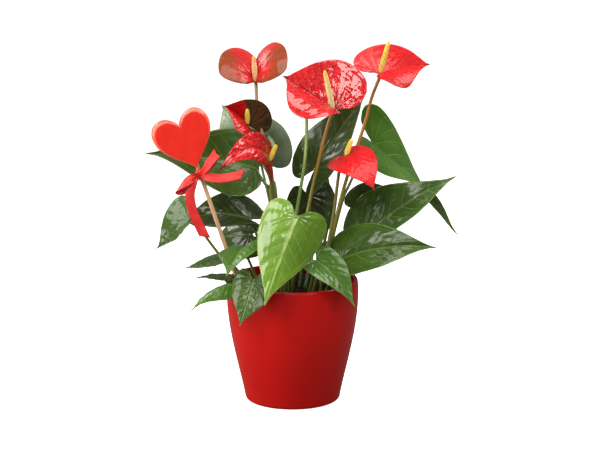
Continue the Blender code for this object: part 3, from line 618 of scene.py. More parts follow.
def makeBlade(shape, base, tip, outline, inner, veins, relief):
    # points of both faces, faces, material slots and the vein map
    columns, rows = blade["columns"], blade["rows"]
    length, half = np.linalg.norm(tip - base), shape["width"] / 2 * mm
    spans = np.linspace(-1, 1, columns + 1), np.linspace(0, 1, rows + 1)
    around, out = (g.ravel() for g in np.meshgrid(*spans, indexing="ij"))
    margin = outlineAt(outline, np.abs(around))
    lobes = np.where(around < 0, shape.get("rightLobes", shape.get("lobes", 1.0)), shape.get("lobes", 1.0))
    reach = margin[:, 0] * np.where(margin[:, 0] < 0, lobes, 1.0)
    edge = np.stack([reach * length, np.copysign(margin[:, 1] * half, around)], 1)
    angle = np.radians(blade["notchAngle"]) * around
    start = np.stack([np.cos(angle), np.sin(angle)], 1) * inner
    spot = start + (edge - start) * out[:, None]
    along, across = spot[:, 0] / length, spot[:, 1]
    numbers = veinNumbers(along, across, length, half, veins)
    share = np.abs(across) / half
    middle = bladePlaces(shape, base, tip, along, across)
    grid = middle.reshape(columns + 1, rows + 1, 3)
    normal = unit(np.cross(np.gradient(grid, axis=0), np.gradient(grid, axis=1)).reshape(-1, 3))
    agree = (normal * bladeFrame(shape, base, tip, along)[3]).sum(1) * (np.abs(across) < half * 0.3)
    normal *= np.sign(agree.sum())
    seed = relief.get("seed", 0) * 7.3
    bulge = np.sin(math.pi * np.abs(((numbers + 0.5) % 1) - 0.5)) ** 2
    bulge *= np.clip(share * 6, 0, 1) * np.clip((1 - out) * 6, 0, 1) * np.clip(out * 4, 0, 1)
    cloud = np.array([noise.noise(Vector((a * 9 + seed, c * 320, seed))) for a, c in zip(along, across)])
    wave = np.array([noise.noise(Vector((a * 6 + seed, math.copysign(2.0, c), seed + 4)))
                     for a, c in zip(around * 2.6, across)])
    lift = relief["quilt"] * bulge + relief["cloud"] * cloud * np.clip(out * 3, 0, 1)
    lift += relief["wave"] * wave * out ** 3
    lift -= relief["groove"] * np.exp(-(across / (1.1 * mm)) ** 2) * np.clip(1 - out, 0, 1)
    surface = middle + normal * (lift * mm)[:, None]
    rib = blade["midribThickness"] * np.exp(-(across / (1.2 * mm)) ** 2) * np.clip(1 - out, 0, 1) ** 0.7
    thick = blade["thickness"] * (1 - 0.35 * out) + rib
    top = surface + normal * (blade["thickness"] / 2 * mm)
    under = top - normal * (thick * mm)[:, None]
    count, faces, slots = len(top), [], []
    index = np.arange(count).reshape(columns + 1, rows + 1)
    for i in range(columns):
        for j in range(rows):
            a, b, c, d = index[i, j], index[i + 1, j], index[i + 1, j + 1], index[i, j + 1]
            faces += [(a, b, c, d), (d + count, c + count, b + count, a + count)]
            slots += [0, 1]
    rim = [index[i, rows] for i in range(columns + 1)] + [index[columns, j] for j in range(rows - 1, -1, -1)]
    rim += [index[i, 0] for i in range(columns - 1, -1, -1)] + [index[0, j] for j in range(1, rows + 1)]
    for a, b in zip(rim[:-1], rim[1:]):
        faces.append((a, b, b + count, a + count))
        slots.append(0)
    points = np.vstack([top, under])
    a, b, c = (points[faces[columns * rows][k]] for k in range(3))
    if np.cross(b - a, c - a).dot(normal[faces[columns * rows][0] % count]) < 0:
        faces = [tuple(reversed(f)) for f in faces]
    return points, faces, slots, np.tile(np.stack([numbers, share, out], 1), (2, 1))


def joinParts(parts):
    # parts: (points, faces, slots, maps); every part carries all the maps of the first
    points, faces, slots, maps, start = [], [], [], {}, 0
    for partPoints, partFaces, partSlots, partMaps in parts:
        points.append(partPoints)
        faces += [tuple(i + start for i in f) for f in partFaces]
        slots += list(partSlots)
        for label in {label for part in parts for label in part[3]}:
            maps.setdefault(label, []).append(partMaps.get(label, np.zeros((len(partPoints), 3))))
        start += len(partPoints)
    return np.vstack(points), faces, slots, {label: np.vstack(v) for label, v in maps.items()}


stalkShape = {  # lengths in millimetres, the rest as shares of the radius
    "steps": 44, "sides": 12, "low": 1.04, "taper": 0.22, "footReach": 7.0, "footSwelling": 0.3,
    "kneeMiddle": 6.0, "kneeReach": 5.0,
}


def stalkRod(line, radius, swelling, slot):
    # stout where it leaves the soil, slim above, and swollen for a little way under the blade
    form, sides = stalkShape, stalkShape["sides"]
    places = catmull(line, np.linspace(0, 1, form["steps"]))
    travel = np.concatenate([[0], np.cumsum(np.linalg.norm(np.diff(places, axis=0), axis=1))])
    left = travel[-1] - travel
    knee = np.exp(-((left - form["kneeMiddle"] * mm) / (form["kneeReach"] * mm)) ** 2) * swelling
    foot = np.exp(-(travel / (form["footReach"] * mm)) ** 2) * form["footSwelling"]
    radii = radius * mm * (form["low"] - form["taper"] * travel / travel[-1] + foot + knee)
    points, faces, step, turn = sweep(places, radii, sides)
    maps = np.stack([step, turn, np.repeat(np.clip(knee / max(swelling, 0.01), 0, 1), sides)], 1)
    return points, faces, [slot] * len(faces), {"stalkMap": maps}


# leaves

leafTops = {tone: makeLeafTop(tone) for tone in leafTones}
leafUnders = {tone: makeLeafUnder(tone) for tone in leafTones}
petioleFinish = makeStalkFinish("petiole", (0.10, 0.17, 0.03), (0.17, 0.27, 0.05))
leafVeins = {"pairs": 7, "lean": 52.0, "basalStep": 25.0}
leafRelief = {"quilt": 0.45, "cloud": 0.35, "wave": 0.9, "groove": 0.45}
petiole = {"radius": 1.7, "swelling": 0.28, "hiddenShare": 0.7}

# face is the way the upper side looks; left and right are each half's rise and roll in degrees
# tone picks the leaf's copy of the leaf finish: partly its own green, partly painted light and shade
leaves = {
    "leaf_front_large": dict(tone="freshLit", face=(-.15, -.95, .3), width=78, left=(-9, 53),
        right=(-5, 33), arch=.01, sway=-.03, lobes=.6),
    "leaf_front_right": dict(tone="bright", face=(.1, -.7, .7), width=48, left=(6, 22), right=(25, 3),
        arch=.11, sway=.08, twist=-4, lobes=.52),
    "leaf_right_low": dict(tone="mid", face=(0, -.8, .6), width=70, left=(9, 35), right=(25, -13),
        arch=.16, sway=.08, twist=25, lobes=.55),
    "leaf_right_high": dict(tone="mid", face=(-.25, -.8, .5), width=75, left=(-3, 4), right=(24, -44),
        arch=.24, sway=-.04, twist=25, lobes=.96),
    "leaf_right_tall": dict(tone="bright", face=(.6, -.4, .7), width=86, left=(21, -2), right=(40, 74),
        arch=-.05, sway=.17, twist=-58, lobes=.99),
    "leaf_right_back": dict(tone="deep", face=(.05, -.85, .5), width=40, left=(26, 29), right=(6, 34),
        arch=.14, sway=.1, twist=8, lobes=.97),
    "leaf_back_hanging": dict(tone="deep", face=(.1, -1, .1), width=60, left=(-4, 20), right=(46, 25),
        arch=.02, sway=.09, twist=25, lobes=.89),
    "leaf_back_upright": dict(tone="deep", face=(-.25, -.95, .2), width=68, left=(-17, 11),
        right=(49, 0), arch=.15, sway=-.02, twist=23, lobes=.95),
    "leaf_left_long": dict(tone="mid", face=(.05, -.85, .5), width=78, left=(19, 11), right=(20, 9),
        arch=-.09, sway=-.11, twist=-25, lobes=.63),
    # the pale tone of this leaf is a painted glare
    "leaf_left_pale": dict(tone="pale", face=(.2, -1, .1), width=80, left=(17, 21), right=(15, 18),
        arch=.47, sway=.01, twist=12, lobes=1.11),
    "leaf_left_outer": dict(tone="mid", face=(-.6, -.4, .7), width=66, left=(25, -3), right=(30, 12),
        arch=-.15, sway=-.19, twist=-14, lobes=1.02),
    "leaf_left_middle": dict(tone="deep", face=(0, -.6, .8), width=68, left=(14, -54), right=(2, 26),
        arch=.23, sway=-.04, twist=-47, lobes=.92),
    "leaf_left_back": dict(tone="deep", face=(-.35, -.85, .35), width=52, left=(5, 29),
        right=(-4, 103), arch=.42, sway=.06, twist=-25, lobes=.99),
    "leaf_front_left_small": dict(tone="bright", face=(-.35, -.5, .8), width=50, left=(26, 38),
        right=(3, 10), arch=.14, sway=.05, twist=-10, lobes=.99),
    "leaf_left_low_back": dict(tone="mid", face=(-.2, -.25, .95), width=38, left=(12, 2),
        right=(7, 34), arch=-.03, sway=.07, twist=-13),
    "leaf_left_rim": dict(tone="deep", face=(0, 0, 1), width=26, left=(0, 10), right=(12, 17),
        arch=.05, sway=.01, twist=2),
    "leaf_left_low_front": dict(tone="bright", face=(-.45, -.25, .85), width=38, left=(-4, 55),
        right=(-12, 15), arch=.15, sway=-.05, lobes=.6),
    "leaf_front_left_rim": dict(tone="mid", face=(-.15, -.9, .45), width=48, left=(9, 27),
        right=(7, 52), arch=.05, sway=.03, twist=3, lobes=.99),
    "leaf_back_low": dict(tone="mid", face=(0, .35, 1), width=64, left=(6, 34), right=(6, 34), arch=.16),
    "leaf_back_right_low": dict(tone="mid", face=(.25, .25, 1), width=60, left=(6, 34), right=(6, 34),
        arch=.16),
    "leaf_back_high": dict(tone="bright", face=(.1, .45, .9), width=62, left=(6, 34), right=(6, 34),
        arch=.16),
    "leaf_back_left_high": dict(tone="mid", face=(-.2, .45, .9), width=62, left=(6, 34), right=(6, 34),
        arch=.16),
}

for number, (name, shape) in enumerate(leaves.items()):
    line, rest = readStalk(name)
    knee = line[-1]
    base = knee + unit(np.array(shape["face"], float)) * blade["kneeLength"] * mm
    for step in range(blade["kneeSteps"]):
        tip = farthest(rest, base)
        base = knee + bladeFrame(shape, base, tip, 0.0)[3][0] * blade["kneeLength"] * mm
    inner = petiole["radius"] * petiole["hiddenShare"] * mm
    points, faces, slots, veinMap = makeBlade(
        shape, base, tip, blade["leafOutline"], inner, leafVeins, dict(leafRelief, seed=number))
    rod = stalkRod(line + [base], petiole["radius"], petiole["swelling"], 2)
    points, faces, slots, maps = joinParts([(points, faces, slots, {"veinMap": veinMap}), rod])
    finishes = [leafTops[shape["tone"]], leafUnders[shape["tone"]], petioleFinish]
    settle(makePiece(name + "_grown", points, faces, finishes, slots, maps), "leaf_green", name)
print("leaves made:", len(leaves))


# Geometry Nodes helpers

def geometryOut(tree, kind, inputs, **settings):
    return nodeOut(tree, "GeometryNode" + kind, inputs, **settings)


def store(tree, geometry, name, value, kind):
    return geometryOut(tree, "StoreNamedAttribute", {"Geometry": geometry, "Name": name, "Value": value},
                       data_type=kind, domain="POINT")


def placeOf(tree):
    return split(tree, geometryOut(tree, "InputPosition", {}))


def scatter(tree, points, shape, **inputs):
    placed = geometryOut(tree, "InstanceOnPoints", {"Points": points, "Instance": shape, **inputs})
    return geometryOut(tree, "RealizeInstances", {"Geometry": placed})


def endTree(tree, out, geometry, material):
    finished = geometryOut(tree, "SetMaterial", {"Geometry": geometry, "Material": material})
    plug(tree, out["Geometry"], finished)
    return tree


def runNodes(name, tree, values, source=None):
    # the tree's result as a plain mesh; values are set by socket identifier before it is evaluated
    mesh = source.data.copy() if source else bpy.data.meshes.new(name)
    carrier = bpy.data.objects.new(name + "_source", mesh)
    bpy.context.scene.collection.objects.link(carrier)
    modifier = carrier.modifiers.new("Nodes", "NODES")
    modifier.node_group = tree
    keys = {i.name: i.identifier for i in tree.interface.items_tree if i.in_out == "INPUT"}
    for label, value in values.items():
        modifier[keys[label]] = value
    made = bakedMesh(carrier)
    carrier.modifiers.remove(modifier)
    bpy.data.objects.remove(carrier, do_unlink=True)
    piece = bpy.data.objects.new(name, made)
    bpy.context.scene.collection.objects.link(piece)
    return piece


# flowers

spadix = {
    "radius": 2.6, "gap": 1.2, "floretSize": 0.62, "floretsPerMm": 11.0,
    "profile": ((0, .46), (.06, .74), (.16, .92), (.35, 1), (.7, .84), (.9, .64), (.97, .4), (1, .12)),
}


def makeSpadixTree():
    # beads set round a tapering rod, each a golden turn on from the last
    tree, given, out = newGroup("floretSpadix", [
        ("Length", floatSocket, 0.03), ("Radius", floatSocket, 0.0026), ("Florets", wholeSocket, 300),
        ("Floret Size", floatSocket, 0.0006), ("Turn", floatSocket, math.radians(goldenTurn)),
        ("Seed", wholeSocket, 1), ("Finish", materialSocket, None),
    ], [("Geometry", geometrySocket)], "GeometryNodeTree")

    def taper(share):
        curve = addNode(tree, "ShaderNodeFloatCurve", {"Value": share})
        line = curve.mapping.curves[0]
        for spot, width in spadix["profile"][1:-1]:
            line.points.new(spot, width)
        line.points[0].location = spadix["profile"][0]
        line.points[len(line.points) - 1].location = spadix["profile"][-1]
        curve.mapping.update()
        return times(tree, curve.outputs[0], given["Radius"])

    beads = geometryOut(tree, "MeshLine", {"Count": given["Florets"], "Offset": (0.0, 0.0, 0.0)})
    index = geometryOut(tree, "InputIndex", {})
    share = calc(tree, "DIVIDE", calc(tree, "ADD", index, 0.5), given["Florets"])
    reach, turn = taper(share), times(tree, index, given["Turn"])
    place = joined(tree, times(tree, reach, calc(tree, "COSINE", turn)),
                   times(tree, reach, calc(tree, "SINE", turn)), times(tree, share, given["Length"]))
    beads = geometryOut(tree, "SetPosition", {"Geometry": beads, "Position": place})
    chance = addNode(tree, "FunctionNodeRandomValue", {"ID": index, "Seed": given["Seed"]}).outputs[1]
    beads = store(tree, beads, "beadTone", chance, "FLOAT")
    bead = geometryOut(tree, "MeshIcoSphere", {"Radius": given["Floret Size"], "Subdivisions": 2})
    smaller = remap(tree, share, 0.9, 1.0, 1.0, 0.6)
    size = times(tree, remap(tree, chance, 0.0, 1.0, 0.85, 1.15), smaller)
    florets = scatter(tree, beads, bead, Scale=size)

    core = geometryOut(tree, "CurvePrimitiveLine", {"End": joined(tree, z=given["Length"])})
    core = geometryOut(tree, "ResampleCurve", {"Curve": core, "Count": 40})
    along = addNode(tree, "GeometryNodeSplineParameter").outputs["Factor"]
    circle = geometryOut(tree, "CurvePrimitiveCircle", {"Resolution": 16, "Radius": 1.0})
    core = geometryOut(tree, "CurveToMesh", {
        "Curve": core, "Profile Curve": circle, "Fill Caps": True, "Scale": taper(along)})
    both = addNode(tree, "GeometryNodeJoinGeometry")
    tree.links.new(core, both.inputs[0])
    tree.links.new(florets, both.inputs[0])

    spot = placeOf(tree)
    height = calc(tree, "DIVIDE", spot[2], given["Length"])
    away = calc(tree, "ADD", times(tree, spot[0], spot[0]), times(tree, spot[1], spot[1]))
    above = calc(tree, "SUBTRACT", calc(tree, "SQRT", away), taper(height))
    proud = calc(tree, "DIVIDE", above, given["Floret Size"])
    tone = geometryOut(tree, "InputNamedAttribute", {"Name": "beadTone"}, data_type="FLOAT")
    whole = store(tree, both.outputs[0], "spadixMap", joined(tree, height, proud, tone), "FLOAT_VECTOR")
    return endTree(tree, out, geometryOut(tree, "SetShadeSmooth", {"Geometry": whole}), given["Finish"])


spadixTree = makeSpadixTree()
spadixFinishes = {
    "cream": makeSpadixFinish("spadixCream", (0.90, 0.82, 0.50), (0.90, 0.76, 0.30), (0.88, 0.66, 0.07)),
    "peach": makeSpadixFinish("spadixPeach", (0.86, 0.52, 0.28), (0.88, 0.50, 0.22), (0.84, 0.38, 0.14)),
    "golden": makeSpadixFinish("spadixGolden", (0.88, 0.66, 0.12), (0.90, 0.62, 0.05), (0.82, 0.64, 0.05)),
}
spatheBacks = {
    "red": makeSpatheBack("spatheBackRed", (0.42, 0.018, 0.014), (0.30, 0.03, 0.012)),
    "olive": makeSpatheBack("spatheBackOlive", (0.085, 0.04, 0.012), (0.16, 0.14, 0.03)),
}
stalkFinishes = {
    "green": makeStalkFinish("stalkGreen", (0.20, 0.30, 0.06), (0.32, 0.42, 0.10)),
    "brown": makeStalkFinish("stalkBrown", (0.17, 0.19, 0.035), (0.33, 0.13, 0.035)),
    "orange": makeStalkFinish("stalkOrange", (0.22, 0.19, 0.03), (0.66, 0.21, 0.03)),
}
spatheVeins = {"pairs": 6, "lean": 42.0, "basalStep": 21.0}
spatheRelief = {"quilt": 0.7, "cloud": 0.55, "wave": 0.8, "groove": 0.6}
spatheInner = 1.7
flowerSeed = 40
flowerStalk = {"radius": 2.0, "swelling": 0.12, "past": 0.5}

flowers = {
    "flower_top_left": dict(tone="speckled", back="red", spadix="peach", stalk="brown", blister=0.22,
        lean=(-.05, -.05, 1), face=(-.15, -.5, .85), width=87, left=(63, 69), right=(61, 74), arch=.28,
        sway=-.03, twist=-2, lobes=.52),
    # the olive front of its right lobe is painted shade
    "flower_rolled": dict(tone="scarlet", back="olive", spadix="golden", stalk="brown", blister=0.4,
        lean=(.02, -.4, .92), face=(-.25, -.55, .8), width=56, left=(43, 45), right=(58, 4), arch=.12,
        sway=-.13, twist=-21, rightLobes=1.4, rightTone="olive"),
    "flower_arched_left": dict(tone="rosy", back="red", spadix="golden", stalk="brown", blister=0.8,
        lean=(.4, .1, .9), face=(-.2, -.85, .5), width=36, left=(-7, 38), right=(35, -1), arch=.7,
        sway=-.14, twist=19, lobes=.5),
    "flower_front_large": dict(tone="rosy", back="red", spadix="cream", stalk="orange", blister=1.0,
        lean=(-.2, -.35, .95), face=(.4, -.6, .7), width=99, left=(57, 93), right=(44, 1), arch=-.01,
        sway=-.04, twist=-24, lobes=.92),
    "flower_top_right": dict(tone="scarlet", back="red", spadix="golden", stalk="orange", blister=0.15,
        lean=(.25, -.15, .95), face=(0, -.35, .95), width=67, left=(19, -8), right=(26, 65), arch=-.05,
        sway=.21, twist=25, lobes=1.02),
    "flower_low_front": dict(tone="scarlet", back="red", spadix="golden", stalk="brown", blister=0.15,
        lean=(.35, .1, .95), face=(.1, -.6, .8), width=47, left=(15, 11), right=(-19, 0), arch=.27,
        sway=.01, twist=-17, lobes=.91),
    "flower_bud": dict(tone="scarlet", back="red", spadix="golden", stalk="green", blister=0.15,
        lean=(0, -.8, .6), face=(.1, -.95, .15), width=32, left=(24, 6), right=(24, 6), arch=.04),
}
frontFinishes = {}


def frontFinish(tone, blister):
    # one finish for every flower of the same tone and blister
    if (tone, blister) not in frontFinishes:
        frontFinishes[tone, blister] = makeSpatheFront(tone, blister)
    return frontFinishes[tone, blister]


def makeSpathe(name, shape, base, seed):
    tip = farthest(cadPoints(name + "_spathe"), base)
    strength = 0.45 + 0.55 * shape["blister"]
    relief = {key: value * strength for key, value in spatheRelief.items()}
    points, faces, slots, veinMap = makeBlade(
        shape, base, tip, blade["spatheOutline"], spatheInner * mm, spatheVeins, dict(relief, seed=seed))
    finishes = [frontFinish(shape["tone"], shape["blister"]), spatheBacks[shape["back"]]]
    if "rightTone" in shape:
        finishes.append(frontFinish(shape["rightTone"], shape["blister"]))
        lobe = blade["columns"] // 3 * blade["rows"] * 2
        slots[:lobe] = [2 if slot == 0 else slot for slot in slots[:lobe]]
    piece = makePiece(name + "_spathe_veined", points, faces, finishes, slots, {"veinMap": veinMap})
    settle(piece, "spathe_red", name + "_spathe")


def makeSpadix(name, finish, base, lean, seed):
    gap, floret = spadix["gap"] * mm, spadix["floretSize"]
    length = ((cadPoints(name + "_spadix") - base) @ lean).max() - gap
    made = runNodes(name + "_spadix_beaded", spadixTree, {
        "Length": length, "Radius": (spadix["radius"] - floret / 2) * mm,
        "Florets": int(length / mm * spadix["floretsPerMm"]), "Floret Size": floret * mm,
        "Seed": seed, "Finish": finish})
    turn = Vector(lean).to_track_quat("Z", "Y").to_matrix().to_4x4()
    made.data.transform(Matrix.Translation(Vector(base + lean * gap)) @ turn)
    settle(made, "spadix_yellow", name + "_spadix")


for number, (name, shape) in enumerate(flowers.items()):
    line = readStalk(name + "_stalk")[0]
    base, lean = line[-1], unit(shape["lean"])
    makeSpathe(name, shape, base, number + flowerSeed)
    top = base + lean * flowerStalk["past"] * mm
    points, faces, slots, maps = stalkRod(line + [top], flowerStalk["radius"], flowerStalk["swelling"], 0)
    stalk = makePiece(name + "_stalk_grown", points, faces, [stalkFinishes[shape["stalk"]]], slots, maps)
    settle(stalk, "stalk_green", name + "_stalk")
    makeSpadix(name, spadixFinishes[shape["spadix"]], base, lean, number)
print("flowers made:", len(flowers))


# pots and soil

def turned(name, profile, segments, materials):
    # a profile of (radius, height) in millimetres turned about Z, with its ends on the axis
    turn = 2 * np.pi * np.arange(segments) / segments
    ring = np.stack([np.cos(turn), np.sin(turn)], 1)
    points = [(0, 0, profile[0][1])]
    for radius, height in profile[1:-1]:
        points += [(*spot * radius, height) for spot in ring]
    points.append((0, 0, profile[-1][1]))
    faces = bodyFaces(len(profile) - 2, segments)
    return facesOut(makePiece(name, np.array(points) * mm, faces, materials))


def arc(centreR, centreZ, radius, start, end, steps):
    angles = np.radians(np.linspace(start, end, steps + 1))
    return [(centreR + radius * math.cos(a), centreZ + radius * math.sin(a)) for a in angles]


pot = {
    "footRadius": 50.0, "bellyHeight": 118.0, "wall": 4.4, "floor": 7.0, "footRound": 4.0,
    "rimPull": 0.8, "innerRound": 4.0, "footRing": 1.5, "steps": 40, "segments": 192,
}
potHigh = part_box("cover_pot")[1]
bellyRadius, potHeight = potHigh.x / mm, potHigh.z / mm


def potRadius(height):
    share = min(1.0, height / pot["bellyHeight"]) ** 1.15
    return pot["footRadius"] + (bellyRadius - pot["footRadius"]) * math.sin(share * math.pi / 2)


def makeCoverPot():
    half, floor, footRound, soft = pot["wall"] / 2, pot["floor"], pot["footRound"], pot["innerRound"]
    belly, rimHeight, outer = pot["bellyHeight"], potHeight - half, []
    for z in np.linspace(footRound + 2, rimHeight - 1, pot["steps"]):
        pull = pot["rimPull"] * max(0.0, (z - belly) / (rimHeight - belly)) ** 2
        outer.append((potRadius(z) - pull, z))
    inner = [(r - pot["wall"], z) for r, z in outer if z > floor + soft + 1]
    footRadius = potRadius(footRound) - footRound
    profile = [(0, floor)] + arc(inner[0][0] - soft, floor + soft, soft, -90, 0, 6) + inner
    profile += arc(bellyRadius - half - pot["rimPull"], rimHeight, half, 180, 0, 12) + outer[::-1]
    profile += arc(footRadius, footRound, footRound, 0, -90, 8) + [(footRadius - pot["footRing"], 0), (0, 0)]
    settle(turned("cover_pot_glazed", profile, pot["segments"], [makeGlaze()]), "glazed_pot", "cover_pot")


makeCoverPot()

liner = {
    "footRadius": 42.0, "wall": 1.2, "lip": 2.4, "lipDepth": 6.0, "lipRound": 0.8, "steps": 14,
    "holes": 6, "holeRadius": 4.5, "holeCircle": 28.0, "segments": 144,
}


def makeNurseryPot():
    low, high = (v.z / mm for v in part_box("nursery_pot"))
    foot, wall, soft = liner["footRadius"], liner["wall"], liner["lipRound"]
    reach = linerReach / mm
    topRadius, lipStart = reach - liner["lip"], high - liner["lipDepth"]
    shares = np.linspace(0, 1, liner["steps"])
    slope = [(foot + (topRadius - foot) * s, low + (high - low) * s) for s in shares]
    outer = [(r, z) for r, z in slope if z < lipStart - 1]
    profile = [(0, low + wall)] + [(r - wall, max(z, low + wall)) for r, z in slope[:-1]]
    profile += arc(topRadius + 0.2, high - soft, soft, 150, 60, 5)
    profile += arc(reach - soft, high - soft, soft, 60, 0, 4)
    profile += [(reach, lipStart + 0.3), (reach - 0.5, lipStart), (outer[-1][0] + 0.4, lipStart)]
    profile += outer[::-1] + [(0, low)]
    body = turned("nursery_pot_moulded", profile, liner["segments"], [makePlastic()])
    cutters = []
    for k in range(liner["holes"]):
        turn = 2 * math.pi * k / liner["holes"]
        spot = Vector((math.cos(turn), math.sin(turn), 0)) * liner["holeCircle"] * mm
        spot.z = (low + wall / 2) * mm
        shape, radius = bmesh.new(), liner["holeRadius"] * mm
        bmesh.ops.create_cone(shape, cap_ends=True, segments=24, radius1=radius, radius2=radius,
                              depth=8 * mm, matrix=Matrix.Translation(spot))
        mesh = bpy.data.meshes.new("drain")
        shape.to_mesh(mesh)
        shape.free()
        cutter = bpy.data.objects.new("drain", mesh)
        bpy.context.scene.collection.objects.link(cutter)
        cut = body.modifiers.new("Drain", "BOOLEAN")
        cut.operation = "DIFFERENCE"
        cut.object = cutter
        cutters.append(cutter)
    made = bakedMesh(body)
    body.modifiers.clear()
    body.data = made
    made.set_sharp_from_angle(angle=math.radians(40))
    for cutter in cutters:
        bpy.data.objects.remove(cutter, do_unlink=True)
    settle(body, "nursery_plastic", "nursery_pot")


makeNurseryPot()

soil = {
    "roughness": 1.1, "crown": 3.0, "rings": 40, "segments": 120, "grainsPerSquareCm": 42.0,
    "grainSize": 1.15, "flattest": (0.35, 0.35, 0.25), "longest": (1.5, 1.1, 0.8), "seed": 5,
}


def makeSoil():
    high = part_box("potting_soil")[1]
    reach, n = high.x, soil["segments"]
    ring = [(math.cos(a), math.sin(a)) for a in (2 * math.pi * k / n for k in range(n))]
    points = [(0.0, 0.0, high.z - 0.4 * mm)]
    for i in range(1, soil["rings"] + 1):
        r = reach * i / soil["rings"]
        rough = soil["roughness"] * mm * min(1.0, (reach - r) / (4 * mm) + 0.2)
        level = high.z - soil["crown"] * mm * (r / reach) ** 2 - 0.8 * mm
        for x, y in ring:
            bump = noise.fractal(Vector((r * x, r * y, 0)) * 120, 1.0, 2.0, 4)
            points.append((r * x, r * y, level + bump * rough))
    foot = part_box("nursery_pot")[0].z + (liner["wall"] + 0.3) * mm
    for r, z in ((reach - 4 * mm, (high.z + foot) / 2), (reach - 15 * mm, foot)):
        points += [(r * x, r * y, z) for x, y in ring]
    points.append((0.0, 0.0, foot))
    finish = makeSoilFinish("soilBody", (0.012, 0.008, 0.005), (0.045, 0.028, 0.016))
    body = makePiece("potting_soil_crumbly", points, bodyFaces(soil["rings"] + 2, n), [finish])
    return settle(body, "potting_soil", "potting_soil")


def makeGrainTree():
    tree, given, out = newGroup("soilGrains", [
        ("Geometry", geometrySocket, None), ("Density", floatSocket, 1000.0),
        ("Grain Size", floatSocket, 0.001), ("Lowest", floatSocket, 0.1), ("Seed", wholeSocket, 1),
        ("Finish", materialSocket, None),
    ], [("Geometry", geometrySocket)], "GeometryNodeTree")
    onTop = calc(tree, "GREATER_THAN", placeOf(tree)[2], given["Lowest"])
    points = geometryOut(tree, "DistributePointsOnFaces", {
        "Mesh": given["Geometry"], "Selection": onTop, "Density": given["Density"], "Seed": given["Seed"]})
    turn = nodeOut(tree, "FunctionNodeRandomValue", {
        "Min": (0.0, 0.0, 0.0), "Max": (6.3, 6.3, 6.3), "Seed": given["Seed"]}, data_type="FLOAT_VECTOR")
    size = nodeOut(tree, "FunctionNodeRandomValue", {
        "Min": soil["flattest"], "Max": soil["longest"], "Seed": 9}, data_type="FLOAT_VECTOR")
    grain = geometryOut(tree, "MeshIcoSphere", {"Radius": given["Grain Size"], "Subdivisions": 1})
    return endTree(tree, out, scatter(tree, points, grain, Rotation=turn, Scale=size), given["Finish"])


soilBody = makeSoil()
grains = runNodes("potting_soil_grains", makeGrainTree(), {
    "Density": soil["grainsPerSquareCm"] * 1e4, "Grain Size": soil["grainSize"] * mm, "Seed": soil["seed"],
    "Lowest": soilTop - 8 * mm,
    "Finish": makeSoilFinish("soilGrain", (0.016, 0.010, 0.006), (0.075, 0.045, 0.024))}, soilBody)
settle(grains, "potting_soil")
print("pots and soil made,", len(grains.data.polygons), "grain faces")


# heart pick

heart = {
    "width": 62.0, "height": 60.0, "up": (-0.37, -0.06, 0.92), "face": (0.12, -1.0, 0.1),
    "flatShare": 0.88, "middleShare": 0.52, "fullness": 2.5, "steps": 140,
}


def makeHeart():
    cad = cadPoints("pick_heart")
    up = unit(heart["up"])
    normal = unit(np.array(heart["face"]) - up * up.dot(heart["face"]))
    across = np.cross(up, normal)
    centre = [((cad @ d).min() + (cad @ d).max()) / 2 for d in (across, normal)]
    depth = ((cad @ normal).max() - (cad @ normal).min()) / 2
    t = np.linspace(0, 2 * np.pi, heart["steps"], endpoint=False)
    x = np.sign(np.sin(t)) * np.abs(np.sin(t)) ** heart["fullness"] * heart["width"] / 2 * mm
    y = 13 * np.cos(t) - 4.6 * np.cos(2 * t) - 2 * np.cos(3 * t) - 0.7 * np.cos(4 * t)
    y = ((y - y.min()) / (y.max() - y.min()) - heart["middleShare"]) * heart["height"] * mm
    foot = across * centre[0] + normal * centre[1] + up * (cad @ up).min()
    middle = foot + up * heart["middleShare"] * heart["height"] * mm
    outline = across * x[:, None] + up * y[:, None]
    flat, n = heart["flatShare"], heart["steps"]
    front = [(s, 1.0) for s in (0.3, 0.55, 0.75, flat)]
    for a in np.radians(np.linspace(12, 90, 8)):
        front.append((flat + (1 - flat) * math.sin(a), 0.45 + 0.55 * math.cos(a)))
    rings = front + [(1.0, 0.15), (1.0, -0.15)] + [(s, -h) for s, h in reversed(front)]
    points, mask = [middle + normal * depth], [1.0]
    for s, h in rings:
        points += list(middle + outline * s + normal * depth * h)
        mask += [1.0 if s <= flat else max(0.0, 1 - (s - flat) / (1 - flat) * 1.6)] * n
    points.append(middle - normal * depth)
    maps = np.zeros((len(points), 3))
    maps[:, 0] = mask + [1.0]
    piece = makePiece("pick_heart_painted", points, bodyFaces(len(rings), n), [makeHeartPaint()],
                      maps={"heartMap": maps})
    settle(facesOut(piece), "heart_paint", "pick_heart")


def makeStick():
    cad = cadPoints("pick_stick")
    middle = cad.mean(0)
    axis = np.linalg.svd(cad - middle)[2][0]
    axis *= np.sign(axis[2])
    along = (cad - middle) @ axis
    radius = np.linalg.norm(cad - middle - along[:, None] * axis, axis=1).max()
    shares = np.linspace(0, 1, 60)
    line = middle + axis * (along.min() + (along.max() - along.min()) * shares)[:, None]
    radii = radius * np.minimum(1, 0.55 + 0.45 * np.minimum(shares, 1 - shares) * 60)
    points, faces, step, turn = sweep(line, radii * (1 + 0.012 * np.sin(shares * 31)), 20)
    maps = {"stalkMap": np.stack([step, turn, step], 1)}
    settle(makePiece("pick_stick_turned", points, faces, [makeWood()], maps=maps), "stick_wood", "pick_stick")


makeHeart()
makeStick()

